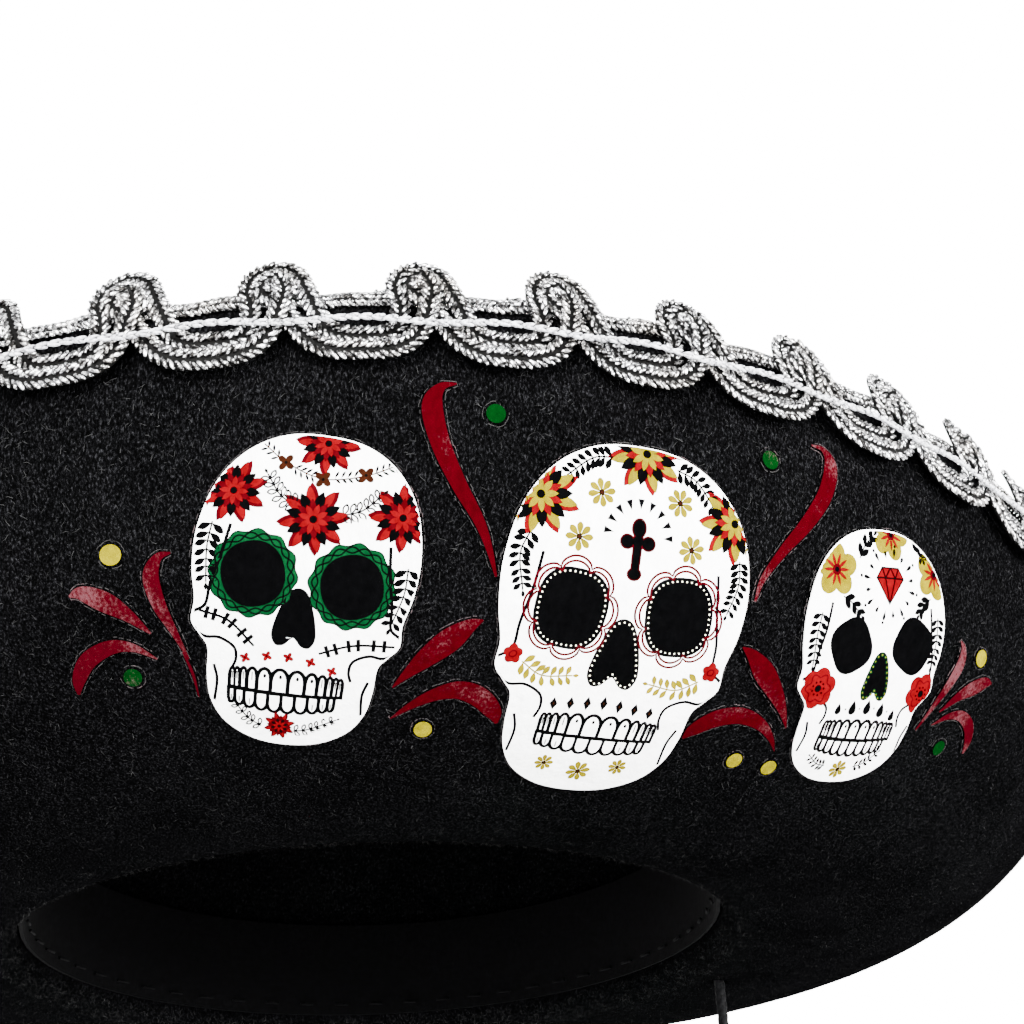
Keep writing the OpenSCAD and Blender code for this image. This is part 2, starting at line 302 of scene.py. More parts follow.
def felt_finish():
    """Black felt: short fibres two ways, lint and larger worn patches."""
    m, nodes, links, shader = material("black wool felt")
    fibre = noise_on(m, 2600, (1, 1, 0.45), 4, 0.75)
    cross = noise_on(m, 1500, (1.3, 0.6, 1), 3, 0.7, (0.4, 0.7, 0.2))
    patch = noise_on(m, 45, (1, 1, 1), 3, 0.6)
    colour = ramp_on(m, fibre, (0.42, (0.0003,)), (0.55, (0.0009, 0.0009, 0.0010)),
                     (0.72, (0.0105, 0.0105, 0.0115)))
    lint = ramp_on(m, cross, (0.35, (0.6,)), (0.7, (1.5,)))
    worn = ramp_on(m, patch, (0.3, (0.7,)), (0.75, (1.3,)))
    links.new(times_on(m, times_on(m, colour, lint), worn), shader.inputs["Base Color"])
    shader.inputs["Roughness"].default_value = 0.95
    shader.inputs["Specular IOR Level"].default_value = 0.0
    bump_on(m, fibre, 0.9, 0.0005, shader)
    return m


def fuzz_finish():
    """The fibres that stand off the felt, a little paler than it."""
    m, nodes, links, shader = material("loose felt fibre")
    shade = noise_on(m, 300, (1, 1, 1), 2)
    links.new(ramp_on(m, shade, (0.35, (0.001,)), (0.7, (0.022,))), shader.inputs["Base Color"])
    shader.inputs["Roughness"].default_value = 0.8
    shader.inputs["Specular IOR Level"].default_value = 0.0
    return m


def film_finish():
    """White transfer film, creased by the felt under it; its tone follows the creases, darker in
    their hollows, as painted shade.
    """
    m, nodes, links, shader = material("white transfer film with painted crease shade")
    crease = noise_on(m, 240, (1, 1, 0.12), 4, 0.65, (0.5, 0.6, 0.4))
    fine = noise_on(m, 1100, (1, 1, 0.4), 3, 0.6, (0.9, 0.2, 0.5))
    # tone tied to the crease height: darker in the hollows, painted shade
    crease_shade_tint = ramp_on(m, crease, (0.3, (0.74, 0.735, 0.72)), (0.6, (0.86, 0.86, 0.85)))
    grain = ramp_on(m, fine, (0.25, (0.9,)), (0.6, (1.0,)))
    links.new(times_on(m, crease_shade_tint, grain), shader.inputs["Base Color"])
    shader.inputs["Roughness"].default_value = 0.42
    shader.inputs["Specular IOR Level"].default_value = 0.1
    bump_on(m, crease, 0.9, 0.0006, shader)
    return m


def ink_finish(name, colour, pale=1.35, roughness=0.55, wear=0.0):
    """Printed ink with a slight mottling; wear rubs whitish specks through it."""
    m, nodes, links, shader = material(name)
    mottle = noise_on(m, 700, (1, 1, 0.6), 3, 0.6)
    light = tuple(min(1, c * pale) for c in colour)
    body = ramp_on(m, mottle, (0.32, tuple(c * 0.8 for c in colour)), (0.7, light))
    if wear:
        speck = noise_on(m, 1900, (1, 1, 0.5), 4, 0.8)
        area = noise_on(m, 110, (1, 1, 1), 2, 0.5)
        rub = ramp_on(m, times_on(m, speck, area), (0.33 - 0.1 * wear, (0.0,)),
                      (0.42 - 0.08 * wear, (1.0,)))
        mix = nodes.new("ShaderNodeMix")
        mix.data_type = "RGBA"
        links.new(rub, mix.inputs["Factor"])
        links.new(body, mix.inputs[6])
        faded = [min(1, c + more) for c, more in zip(colour, (0.02, 0.011, 0.012))]
        mix.inputs[7].default_value = (*faded, 1)
        body = mix.outputs[2]
    links.new(body, shader.inputs["Base Color"])
    shader.inputs["Roughness"].default_value = roughness
    shader.inputs["Specular IOR Level"].default_value = 0.0
    bump_on(m, mottle, 0.35, 0.0002, shader)
    return m


def silver_painted_shade_finish():
    """Silver yarn: bright metal broken up by near-black specks, painted shade between its fibres
    and painted dark reflections.
    """
    m, nodes, links, shader = material("silver lame yarn with painted shade and dark reflections")
    speck = noise_on(m, 900, (1, 1, 1), 3, 0.8)
    patch = noise_on(m, 120, (1, 1, 1), 2, 0.5)
    # the near-black stop is painted shade and painted dark reflection, not the metal's own colour
    colour = ramp_on(m, speck, (0.44, (0.004, 0.0035, 0.003)), (0.52, (0.16, 0.16, 0.165)),
                     (0.60, (0.95, 0.95, 0.96)))
    warm = ramp_on(m, patch, (0.3, (0.80, 0.76, 0.70)), (0.6, (1.0, 1.0, 1.0)))
    links.new(times_on(m, colour, warm), shader.inputs["Base Color"])
    shader.inputs["Metallic"].default_value = 0.9
    shader.inputs["Roughness"].default_value = 0.26
    bump_on(m, speck, 0.5, 0.0002, shader)
    return m


def thread_finish(name, dark, light, scale=1600, roughness=0.6, gloss=0.02):
    """Thread, cloth or plastic in two close tones, grained by its ply."""
    m, nodes, links, shader = material(name)
    ply = noise_on(m, scale, (1, 1, 1), 3, 0.7)
    links.new(ramp_on(m, ply, (0.35, dark), (0.62, light)), shader.inputs["Base Color"])
    shader.inputs["Roughness"].default_value = roughness
    shader.inputs["Specular IOR Level"].default_value = gloss
    bump_on(m, ply, 0.5, 0.0002, shader)
    return m


FELT_CLOTH = felt_finish()
FUZZ = fuzz_finish()
CREASE_SHADED_FILM = film_finish()
SILVER_PAINTED_SHADE = silver_painted_shade_finish()
# near-black backing strip under each tape: painted shade for the gaps between its stitches
BRAID_SHADE_BACKING = thread_finish("braid backing, painted shade", (0.0002, 0.0002, 0.0002), (0.0015, 0.0014, 0.0013))
CHAIN = thread_finish("pale chain thread", (0.015, 0.015, 0.017), (0.6, 0.6, 0.63), 1500, 0.35)
CORD_BLACK = thread_finish("black cord yarn", (0.0003, 0.0003, 0.0003), (0.003, 0.003, 0.0033),
                           1500)
BAND_CLOTH = thread_finish("black band cloth", (0.0002, 0.0002, 0.0002), (0.0006, 0.0006, 0.0007),
                           700, 0.9)
SEWING = thread_finish("black sewing thread", (0.0002, 0.0002, 0.0002), (0.001, 0.001, 0.0011),
                       2500, 0.8)
PLASTIC = thread_finish("black moulded plastic", (0.0012, 0.0012, 0.0013), (0.002, 0.002, 0.0022),
                        400, 0.4, 0.1)
INKS = {
    "black": ink_finish("black print", (0.0004, 0.0004, 0.00045)),
    "red": ink_finish("red print", (0.045, 0.0002, 0.0010)),
    "dark_red": ink_finish("dark red print", (0.018, 0.0003, 0.0009)),
    "yellow": ink_finish("yellow print", (0.070, 0.055, 0.0)),
    "green": ink_finish("green print", (0.0006, 0.013, 0.0035)),
    "brown": ink_finish("brown print", (0.008, 0.002, 0.0008)),
    "cream": ink_finish("cream print", (0.80, 0.76, 0.55)),
    "white": CREASE_SHADED_FILM,
}
STROKE_RED = ink_finish("red transfer on felt", (0.014, 0.0001, 0.0008), pale=1.15, wear=0.12)
STROKE_WORN = ink_finish("worn red transfer", (0.014, 0.0002, 0.0010), pale=1.15, wear=0.75)
DOT_YELLOW = ink_finish("yellow transfer dot", (0.078, 0.065, 0.0), wear=0.05)
DOT_GREEN = ink_finish("green transfer dot", (0.0001, 0.0065, 0.0008), wear=0.2)
# grey ink for the clear film's cut edge: a painted highlight
EDGE_HIGHLIGHT_INK = ink_finish("painted highlight on transfer edge", (0.012, 0.0115, 0.0115), wear=0.5)


# ---- cords, knots and slider ----
HOLE_X, TAIL_X = 100, 4
SLIDER_TOP, TAIL_END = 88, 134          # depths below the opening
START_Z, BEND_Z = 3.5, -20              # the straight drop through the brim
TAIL_TOP = SLIDER_TOP - 3
INTO_KNOT = 1.6
DROP, SWING = 0.15, 0.75                # shares of the route at which its first two parts end
CORD_R = 1.5
RIDGE = 0.20                            # how far a strand stands up, as a share of the radius
ANCHOR_R, END_R = 4.4, 3.5              # the knots above the brim and at the tails


def cord_point(t, side):
    """The chin cord's route: down through the brim, in to the slider, then a tail."""
    if t < DROP:
        x, z = HOLE_X, START_Z - t / DROP * (START_Z - BEND_Z)
    elif t < SWING:
        u = (t - DROP) / (SWING - DROP)
        x = TAIL_X + (HOLE_X - TAIL_X) * (1 + math.cos(math.pi * u)) / 2
        z = BEND_Z - (TAIL_TOP + BEND_Z) * u
    else:
        x = TAIL_X
        z = -TAIL_TOP - (TAIL_END - SLIDER_TOP + INTO_KNOT) * (t - SWING) / (1 - SWING)
    return Vector((side * x, 0, z))


def rope(name, line, radius, strands=3, lay=8.0, sides=18, closed=False):
    """A twisted rope along a line: each strand stands as a ridge round it."""
    n = len(line)
    points, faces = [], []
    across, travelled = None, 0.0
    for i, p in enumerate(line):
        ahead = line[(i + 1) % n] if closed or i < n - 1 else p
        behind = line[i - 1] if closed or i else p
        t = (ahead - behind).normalized()
        if across is None:
            across = t.orthogonal().normalized()
        across = (across - t * across.dot(t)).normalized()
        other = t.cross(across)
        if i:
            travelled += (p - line[i - 1]).length
        for k in range(sides):
            b = TAU * k / sides
            ridge = abs(math.cos(strands / 2 * (b - TAU * travelled / lay)))
            r = radius * (1 - RIDGE + RIDGE * ridge ** 0.7)
            points.append(p + (across * math.cos(b) + other * math.sin(b)) * r)
    for i in range(n if closed else n - 1):
        for k in range(sides):
            a, b = i * sides, (i + 1) % n * sides
            k2 = (k + 1) % sides
            faces.append((a + k, a + k2, b + k2, b + k))
    if not closed:
        for start, end in ((0, False), ((n - 1) * sides, True)):
            points.append(line[-1] if end else line[0])
            c = len(points) - 1
            for k in range(sides):
                k2 = (k + 1) % sides
                faces.append((c, start + k, start + k2) if end else (c, start + k2, start + k))
    return piece_from(name, points, faces)


def knot(name, centre, size, turn=0.0):
    """A round stopper knot, pulled tight: a trefoil of the cord."""
    line, steps = [], 96
    for i in range(steps):
        t = TAU * i / steps
        p = Vector((math.sin(t) + 2 * math.sin(2 * t), math.cos(t) - 2 * math.cos(2 * t),
                    -1.7 * math.sin(3 * t)))
        line.append(centre + Matrix.Rotation(turn, 3, "X") @ (p * (size - CORD_R) / 3.0))
    return rope(name, line, CORD_R * 0.98, lay=6.0, closed=True, sides=14)


for side, word in ((1, "left"), (-1, "right")):
    line = [cord_point(i / 260, side) for i in range(261)]
    cord = rope(f"chin_cord_{word}_twist", line, CORD_R)
    dress(cord, CORD_BLACK, "cord", replaces=[f"chin_cord_{word}"])
    anchor = knot(f"anchor_knot_{word}_tied", Vector((side * HOLE_X, 0, FELT + ANCHOR_R)),
                  ANCHOR_R, 0.5)
    dress(anchor, CORD_BLACK, "cord", replaces=[f"anchor_knot_{word}"])
    tail = knot(f"end_knot_{word}_tied", Vector((side * TAIL_X, 0, -TAIL_END)), END_R, 1.2)
    dress(tail, CORD_BLACK, "cord", replaces=[f"end_knot_{word}"])


# ---- felt: the frame's own shapes, merged and shaded smooth ----
def merged_copy(node, name, angle=40):
    """A copy of a node with its loose triangles merged, smooth up to an angle in degrees."""
    source = frame["nodes"][node]
    obj = source.copy()
    obj.data = source.data.copy()
    obj.name = name
    obj.parent = None
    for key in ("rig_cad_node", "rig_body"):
        if key in obj:
            del obj[key]
    bpy.context.scene.collection.objects.link(obj)
    only(obj)
    bpy.ops.object.mode_set(mode="EDIT")
    bpy.ops.mesh.select_all(action="SELECT")
    bpy.ops.mesh.remove_doubles(threshold=0.00001)
    bpy.ops.object.mode_set(mode="OBJECT")
    bpy.ops.object.shade_smooth_by_angle(angle=math.radians(angle))
    return obj


for node_name, piece_name in (("brim", "brim_felt"), ("crown", "crown_felt")):
    felt = merged_copy(node_name, piece_name)
    apply_modifier(felt, "SUBSURF", levels=1 if node_name == "brim" else 2)
    only(felt)
    bpy.ops.object.shade_smooth()
    dress(felt, FELT_CLOTH, "felt", replaces=[node_name])
dress(merged_copy("sweatband", "sweatband_cloth"), BAND_CLOTH, "sweatband", replaces=["sweatband"])
for node_name in ("seam_stitch", "sweatband_stitch"):
    dress(merged_copy(node_name, node_name + "_thread", 60), SEWING, "thread_black",
          replaces=[node_name])


RIDGE_R, RIDGE_REACH = 0.55, 4.5        # a grip ridge's radius, and half the slider's depth
RIDGE_DEPTHS = (4.0, 6.7, 9.4, 12.1)    # below the slider's top


def slider_ridge(height, reach):
    """A rounded grip ridge that runs right round the slider."""
    curve = bpy.data.curves.new("slider_ridge", "CURVE")
    curve.dimensions = "3D"
    curve.bevel_depth = RIDGE_R * MM
    curve.bevel_resolution = 2
    track = curve.splines.new("POLY")
    turns = [math.radians(-90 + 15 * k) for k in range(13)]
    ring = [(TAIL_X + reach * math.cos(b), reach * math.sin(b)) for b in turns]
    ring += [(-x, -y) for x, y in ring]
    track.points.add(len(ring) - 1)
    for point, (x, y) in zip(track.points, ring):
        point.co = (x * MM, y * MM, height * MM, 1)
    track.use_cyclic_u = True
    obj = bpy.data.objects.new("slider_ridge", curve)
    bpy.context.scene.collection.objects.link(obj)
    only(obj)
    bpy.ops.object.convert(target="MESH")
    bpy.ops.object.shade_smooth()
    return bpy.context.object


def slider_lock():
    """The cord lock: the drilled block with softened edges and four grip ridges."""
    block = merged_copy("cord_slider", "cord_slider_lock")
    apply_modifier(block, "BEVEL", width=0.9 * MM, segments=3, limit_method="ANGLE",
                   angle_limit=math.radians(50))
    only(block)
    bpy.ops.object.shade_smooth_by_angle(angle=math.radians(50))
    ridges = [slider_ridge(-SLIDER_TOP - d, RIDGE_REACH) for d in RIDGE_DEPTHS]
    return join([block] + ridges, "cord_slider_lock")


dress(slider_lock(), PLASTIC, "slider", body="slider", replaces=["cord_slider"])


def fuzz(name, count, place, lift):
    """Loose fibres on the felt: curved blades that taper to nothing, lying close to it."""
    points, faces = [], []
    for _ in range(count):
        at, out, lie = place()
        long = rng.uniform(0.5, 1.9)
        wide = rng.uniform(0.018, 0.04)
        side = lie.cross(out).normalized() * wide
        up = rng.uniform(0.05, lift)
        root = at - out * 0.05
        mid = at + lie * long * 0.5 + out * up * 0.8
        tip = at + lie * long + side * rng.uniform(-12, 12) + out * up
        n = len(points)
        points += [root - side, root + side, mid + side * 0.8, mid - side * 0.8, tip]
        faces += [(n, n + 1, n + 2, n + 3), (n + 3, n + 2, n + 4)]
    return piece_from(name, points, faces, smooth=False)


def brim_spot(h, low=3.0, high=BRIM_ARC - 1):
    """Gives a function for a random place on one face of the brim, its outward direction
    and a lie for a fibre. A place is as likely per area at the rim as at the opening."""
    def place():
        while True:
            a, s = rng.uniform(-math.pi, math.pi), rng.uniform(low, high)
            if rng.random() < under(a, s, 0)[0] / WIDEST:
                break
        p = Vector(on_brim(a, s, h))
        out = (Vector(on_brim(a, s, h + 1)) - p) * (1 if h >= 0 else -1)
        ahead = Vector(on_brim(a, s + 0.5, h)) - p
        lie = Matrix.Rotation(rng.gauss(0, 0.9), 3, out) @ ahead.normalized()
        return p, out.normalized(), lie * (1 if rng.random() < 0.7 else -1)
    return place


dress(fuzz("brim_lower_fuzz", 26000, brim_spot(0.0), 0.28), FUZZ, "felt")
dress(fuzz("brim_upper_fuzz", 16000, brim_spot(-FELT, 6.0), 0.3), FUZZ, "felt")


def lip_spot():
    """A random place on the rounded lip of the head opening."""
    a = rng.uniform(-math.pi, math.pi)
    b = rng.uniform(0, math.pi / 2)
    r = opening(a) + 5 - 5 * math.sin(b)
    p = Vector(spin(a, r, 4.4 - 5.1 * math.cos(b)))
    out = Vector(spin(a, -math.sin(b), -math.cos(b))).normalized()
    ahead = Vector((math.cos(a), math.sin(a), 0))
    return p, out, Matrix.Rotation(rng.uniform(0, TAU), 3, out) @ ahead


dress(fuzz("opening_lip_fuzz", 5000, lip_spot, 0.55), FUZZ, "felt")


def crown_wall(a, z):
    """A point on the crown's felt, with the two pinches at its front."""
    off, turn = (z - DENT_Z) / DENT_TALL, math.degrees(a)
    pinch = DENT * math.exp(-off ** 2) * (math.exp(-((turn - DENT_AT) / DENT_WIDE) ** 2)
                                          + math.exp(-((turn + DENT_AT) / DENT_WIDE) ** 2))
    return Vector(spin(a, crown_reach(a, z) * (1 - pinch), z))


def crown_spot():
    """A random place on the crown."""
    a, z = rng.uniform(-math.pi, math.pi), rng.uniform(16, 144)
    p = crown_wall(a, z)
    ahead = (crown_wall(a + 0.01, z) - p).normalized()
    out = ahead.cross(crown_wall(a, z + 0.5) - p).normalized()
    return p - out * 0.1, out, Matrix.Rotation(rng.uniform(0, TAU), 3, out) @ ahead


dress(fuzz("crown_fuzz", 16000, crown_spot, 0.35), FUZZ, "felt")


# ---- braid ----
def smooth_line(points, steps=8, closed=False):
    """A Catmull-Rom line through the points."""
    pts = [np.array(p, float) for p in points]
    n = len(pts)
    out = []
    for i in range(n if closed else n - 1):
        p0 = pts[(i - 1) % n] if closed or i else pts[0] * 2 - pts[1]
        p1, p2 = pts[i], pts[(i + 1) % n]
        p3 = pts[(i + 2) % n] if closed or i < n - 2 else pts[-1] * 2 - pts[-2]
        for k in range(steps):
            t = k / steps
            out.append(0.5 * (2 * p1 + (p2 - p0) * t + (2 * p0 - 5 * p1 + 4 * p2 - p3) * t * t
                              + (3 * p1 - p0 - 3 * p2 + p3) * t ** 3))
    if not closed:
        out.append(pts[-1])
    return out


def even(line, step):
    """The same line as points an even distance apart, with the step rounded to fit."""
    lengths = [0.0]
    for a, b in zip(line, line[1:]):
        lengths.append(lengths[-1] + math.dist(a[:2], b[:2]))
    n = max(2, round(lengths[-1] / step))
    out, j = [], 0
    for i in range(n + 1):
        want = lengths[-1] * i / n
        while j < len(line) - 2 and lengths[j + 1] < want:
            j += 1
        f = (want - lengths[j]) / max(1e-9, lengths[j + 1] - lengths[j])
        out.append(line[j] * (1 - f) + line[j + 1] * f)
    return out


PITCH = 26.4                    # one repeat of the braid, along the rim
# each tape over one repeat: place along it, height over the middle line, height off the felt
TAPE_A = [(0, -5.5, 2.4), (4.8, -5.2, 2.4), (8.8, -3.6, 2.5), (11.0, -0.8, 2.8), (12.0, 2.8, 3.4),
          (12.4, 7.0, 3.4), (10.4, 10.6, 3.0), (8.2, 7.8, 2.6), (11.6, 4.2, 2.4), (15.0, -0.4, 2.3),
          (17.6, -3.4, 2.4), (21.6, -5.2, 2.4)]
TAPE_B = [(0, -2.1, 1.3), (4.4, -1.8, 1.4), (6.6, -0.2, 1.6), (6.8, 3.8, 2.0), (5.8, 8.0, 2.2),
          (7.0, 12.2, 2.0), (10.6, 14.4, 1.8), (14.2, 12.0, 2.0), (16.0, 8.0, 2.2),
          (18.0, 3.6, 2.0), (20.0, -0.2, 1.6), (22.6, -1.8, 1.4)]
TAPE_BACK = [(0, 6.9, -4.2), (1.4, 7.4, -4.2), (1.6, 9.6, -4.4), (2.2, 11.6, -4.6),
             (3.8, 12.8, -4.6), (5.5, 11.8, -4.6), (6.6, 9.6, -4.4), (9.0, 7.6, -4.2),
             (14.0, 6.9, -4.2), (18.0, 6.7, -4.2), (22.4, 6.8, -4.2)]


def stitch_shape():
    """One yarn stitch: a small rounded grain, modelled once and copied."""
    bpy.ops.object.select_all(action="DESELECT")
    bpy.ops.mesh.primitive_uv_sphere_add(segments=6, ring_count=4, radius=1)
    bpy.ops.object.mode_set(mode="EDIT")
    bpy.ops.mesh.select_all(action="SELECT")
    bpy.ops.transform.resize(value=(0.5, 0.5, 0.5))
    bpy.ops.object.mode_set(mode="OBJECT")
    grain = bpy.context.object
    turn = Matrix.Rotation(math.pi / 2, 3, "Y")
    points = np.array([turn @ v.co for v in grain.data.vertices])
    faces = [tuple(p.vertices) for p in grain.data.polygons]
    bpy.data.objects.remove(grain)
    return points, faces


GRAIN, GRAIN_FACES = stitch_shape()


def grain_at(centre, direction, long, wide, thick):
    """The grain's points turned along a flat direction, sized and placed."""
    c, s = math.cos(direction), math.sin(direction)
    p = GRAIN * (long, wide, thick)
    return np.stack([p[:, 0] * c - p[:, 1] * s + centre[0], p[:, 0] * s + p[:, 1] * c + centre[1],
                     p[:, 2] + centre[2]], 1)


def tape_repeat(route, step=1.25, half=1.12):
    """One repeat of a knitted tape, flat: herringbone stitches over a near-black backing strip, a
    sheet of painted shade for the gaps between them.

    A step is one stitch along the tape, and half is the stitches' distance from its middle."""
    full = [np.array(p, float) for p in route]
    shift = np.array([PITCH, 0, 0])
    line = smooth_line([full[-1] - shift, *full, full[0] + shift, full[1] + shift], 8)[8:-8]
    line = even(line, step)
    n = len(line) - 1
    grains, shade_backing = [], []
    for i in range(n):
        p, q = line[i], line[i + 1]
        d = math.atan2(q[1] - p[1], q[0] - p[0])
        across = np.array([-math.sin(d), math.cos(d), 0])
        for side in (-1, 1):
            lift = 0.09 if (i + (side > 0)) % 2 else -0.09
            c = (p + q) / 2 + across * side * half + np.array([0, 0, 0.15 + lift])
            grains.append(grain_at(c, d + side * 0.66, 2.7, 0.92, 0.95))
        # the backing strip, a sheet of painted shade seen through the gaps between stitches
        edge = across * (half + 0.55)
        shade_backing.append([p - edge, p + edge])
    return grains, shade_backing


SHADE_BACKING_THICK = (0, 0, 0.55)


def braid(name, route, repeats, first, surface, wobble):
    """A tape laid round the hat, one copied repeat after another, each a little different."""
    grains, shade_backing = tape_repeat(route)
    flat = np.concatenate(grains)
    m = len(GRAIN)
    points, faces = [], []
    strip = []
    depths = [1 + rng.uniform(-wobble, wobble) for _ in range(repeats)]
    for k in range(repeats):
        high, lean = (1 + rng.uniform(-wobble, wobble) for _ in range(2))
        centre = first + TAU * k / repeats

        def laid(p):
            x, w, h = p
            share = min(1, max(0, x / PITCH))
            deep = depths[k] * (1 - share) + depths[(k + 1) % repeats] * share
            w = w * (deep if w < 0 else high)
            x += (lean - 1) * 0.5 * max(0, w - 1)
            return surface(centre + x / PITCH * TAU / repeats, w, h)
        base = len(points)
        points += [laid(p) for p in flat]
        for g in range(len(grains)):
            faces += [tuple(base + g * m + v for v in f) for f in GRAIN_FACES]
        for low, up in shade_backing:
            strip.append([laid(low), laid(up), laid(up - SHADE_BACKING_THICK), laid(low - SHADE_BACKING_THICK)])
    yarn = len(faces)
    base, n = len(points), len(strip)
    points += [p for ring in strip for p in ring]
    for i in range(n):
        a, b = base + i * 4, base + (i + 1) % n * 4
        faces += [(a + j, b + j, b + (j + 1) % 4, a + (j + 1) % 4) for j in range(4)]
    obj = piece_from(name, points, faces)
    obj.data.materials.append(SILVER_PAINTED_SHADE)
    # the second slot is the backing strip's painted shade
    obj.data.materials.append(BRAID_SHADE_BACKING)
    index = [0] * yarn + [1] * (len(faces) - yarn)
    obj.data.polygons.foreach_set("material_index", index)
    return obj


U_AT = math.radians(4.3 - 180 / RIM_REPEATS)       # where the rim's first repeat starts
for name, route in (("braid_tape_a", TAPE_A), ("braid_tape_b", TAPE_B)):
    dress(braid(name + "_knit", route, RIM_REPEATS, U_AT, on_rim, 0.08), None, "braid",
          replaces=[name])
dress(braid("braid_far_side_knit", TAPE_BACK, RIM_REPEATS, U_AT, on_rim, 0.0), None, "braid")
for name, route in (("hatband_tape_a", TAPE_A), ("hatband_tape_b", TAPE_B)):
    dress(braid(name + "_knit", route, BAND_REPEATS, 0.0, on_crown, 0.04), None, "braid",
          replaces=[name])


LINK, LINK_H, LINK_DIP = 2.27, 4.0, 0.4     # a chain link, its height and its dip in each repeat


def chain(name, count, surface, long, repeats, centre):
    """The chain stitch down the braid's middle: one link after another."""
    points, faces = [], []
    for k in range(count):
        a = TAU * k / count
        sag = LINK_DIP * math.cos(repeats * (a - centre)) - LINK_DIP
        for twin in (-1, 1):
            link = grain_at((0, twin * 0.26, LINK_H), twin * 0.16, long * 1.22, 0.62, 0.9)
            base = len(points)
            points += [surface(a + p[0] / RIM_R, p[1] + sag, p[2]) for p in link]
            faces += [tuple(base + v for v in f) for f in GRAIN_FACES]
    return piece_from(name, points, faces)


dress(chain("braid_thread_chain", 520, on_rim, LINK, RIM_REPEATS, U_AT), CHAIN, "thread_silver",
      replaces=["braid_thread"])
dress(chain("hatband_thread_chain", 272, on_crown, LINK * RIM_R / CROWN_R, BAND_REPEATS, 0.0),
      CHAIN, "thread_silver", replaces=["hatband_thread"])


EDGE_ROWS = (-0.55, 0.15, 0.85, 1.6, 2.4, 3.2)      # angles at which stitches stand round the edge


def edge_knit():
    """The knitted edge that wraps the rim: rows of slanted stitches over the felt's edge."""
    points, faces = [], []
    count = RIM_REPEATS * 20
    g = math.radians(END_SLOPE)
    ahead, away = (math.cos(g), math.sin(g)), (math.sin(g), -math.cos(g))
    for k in range(count):
        a = TAU * k / count
        swell = 0.35 * math.sin(RIM_REPEATS * (a - U_AT)) + 0.2 * math.sin(101 * a)
        r0, z0 = under(a, BRIM_ARC, -FELT / 2)
        for j, b in enumerate(EDGE_ROWS):
            u, v = (1.5 + swell) + 1.9 * math.sin(b), 2.1 * math.cos(b)
            c = (r0 + ahead[0] * u + away[0] * v, z0 + ahead[1] * u + away[1] * v)
            grain = grain_at((0, 0, 0), 0.55 if (j % 2) else -0.55, 2.3, 1.0, 0.85)
            base = len(points)
            for p in grain:
                ub = p[1] * math.cos(b) + p[2] * math.sin(b)
                vb = -p[1] * math.sin(b) + p[2] * math.cos(b)
                points.append(spin(a + p[0] / RIM_R, c[0] + ahead[0] * ub + away[0] * vb,
                                   c[1] + ahead[1] * ub + away[1] * vb))
            faces += [tuple(base + v2 for v2 in f) for f in GRAIN_FACES]
    return piece_from("rim_binding_knit", points, faces)


dress(edge_knit(), SILVER_PAINTED_SHADE, "braid", replaces=["rim_binding"])


# ---- printed decals: drawn flat in millimetres, cut into small faces, then laid on the brim ----
FILM_H, FILM_T, INK_T = 0.30, 0.20, 0.04            # the film's height off the felt; thicknesses
EDGE_LAYER, STROKE_LAYER = (0.12, 0.08), (FILM_H, 0.1)      # height and thickness of each


def around(x, y, rx, ry, count, turn=0.0, start=0.0):
    """Evenly spaced places on an ellipse: the angle, x and y of each."""
    out = []
    for k in range(count):
        b = turn + TAU * (k + start) / count
        out.append((b, x + rx * math.cos(b), y + ry * math.sin(b)))
    return out


def wave(x, y, n, rx, ry=None):
    """A closed line whose half width and half height are functions of its angle."""
    ry = ry or rx
    return [(x + rx(b) * math.cos(b), y + ry(b) * math.sin(b)) for b, _, _ in around(0, 0, 0, 0, n)]


def ellipse(x, y, rx, ry=None, turn=0.0, n=24, power=2.0):
    """A filled ellipse; a power over 2 squares it off."""
    ry = rx if ry is None else ry
    c, s = math.cos(turn), math.sin(turn)
    out = []
    for k in range(n):
        b = TAU * k / n
        u = math.copysign(abs(math.cos(b)) ** (2 / power), math.cos(b)) * rx
        v = math.copysign(abs(math.sin(b)) ** (2 / power), math.sin(b)) * ry
        out.append((x + u * c - v * s, y + u * s + v * c))
    return out


def petal(x, y, long, wide, turn, blunt=0.5):
    """A petal from its root outwards; blunt moves its widest place towards the tip."""
    c, s = math.cos(turn), math.sin(turn)
    out = []
    for k in range(-8, 9):
        u = 1 - (abs(k) / 8) ** 1.5
        v = 0
        if 0 < u < 1:
            v = math.sin(math.pi * u ** (1 + blunt)) ** (1 - 0.35 * blunt)
            v = 0.5 * math.copysign(v, k)
        out.append((x + u * long * c - v * wide * s, y + u * long * s + v * wide * c))
    return out[:-1]


def line(points, width, taper=0.0):
    """A drawn line through the points: width is its own at each point, or the same all along."""
    pts = smooth_line(points, 6)
    n = len(pts)
    left, right = [], []
    for i, p in enumerate(pts):
        d = pts[min(i + 1, n - 1)] - pts[max(i - 1, 0)]
        length = math.hypot(d[0], d[1]) or 1
        w = (p[2] if len(p) > 2 else width) / 2
        if taper:
            w *= max(0.12, min(1, min(i, n - 1 - i) / (n * taper)))
        nx, ny = -d[1] / length * w, d[0] / length * w
        left.append((p[0] + nx, p[1] + ny))
        right.append((p[0] - nx, p[1] - ny))
    return left + right[::-1]


def loop(points, width):
    """A closed line, as its outer and inner edges."""
    pts = [np.array(p, float) for p in points]
    n = len(pts)
    outer, inner = [], []
    for i, p in enumerate(pts):
        d = pts[(i + 1) % n] - pts[i - 1]
        length = math.hypot(d[0], d[1]) or 1
        nx, ny = d[1] / length * width / 2, -d[0] / length * width / 2
        outer.append((p[0] + nx, p[1] + ny))
        inner.append((p[0] - nx, p[1] - ny))
    return outer, inner[::-1]


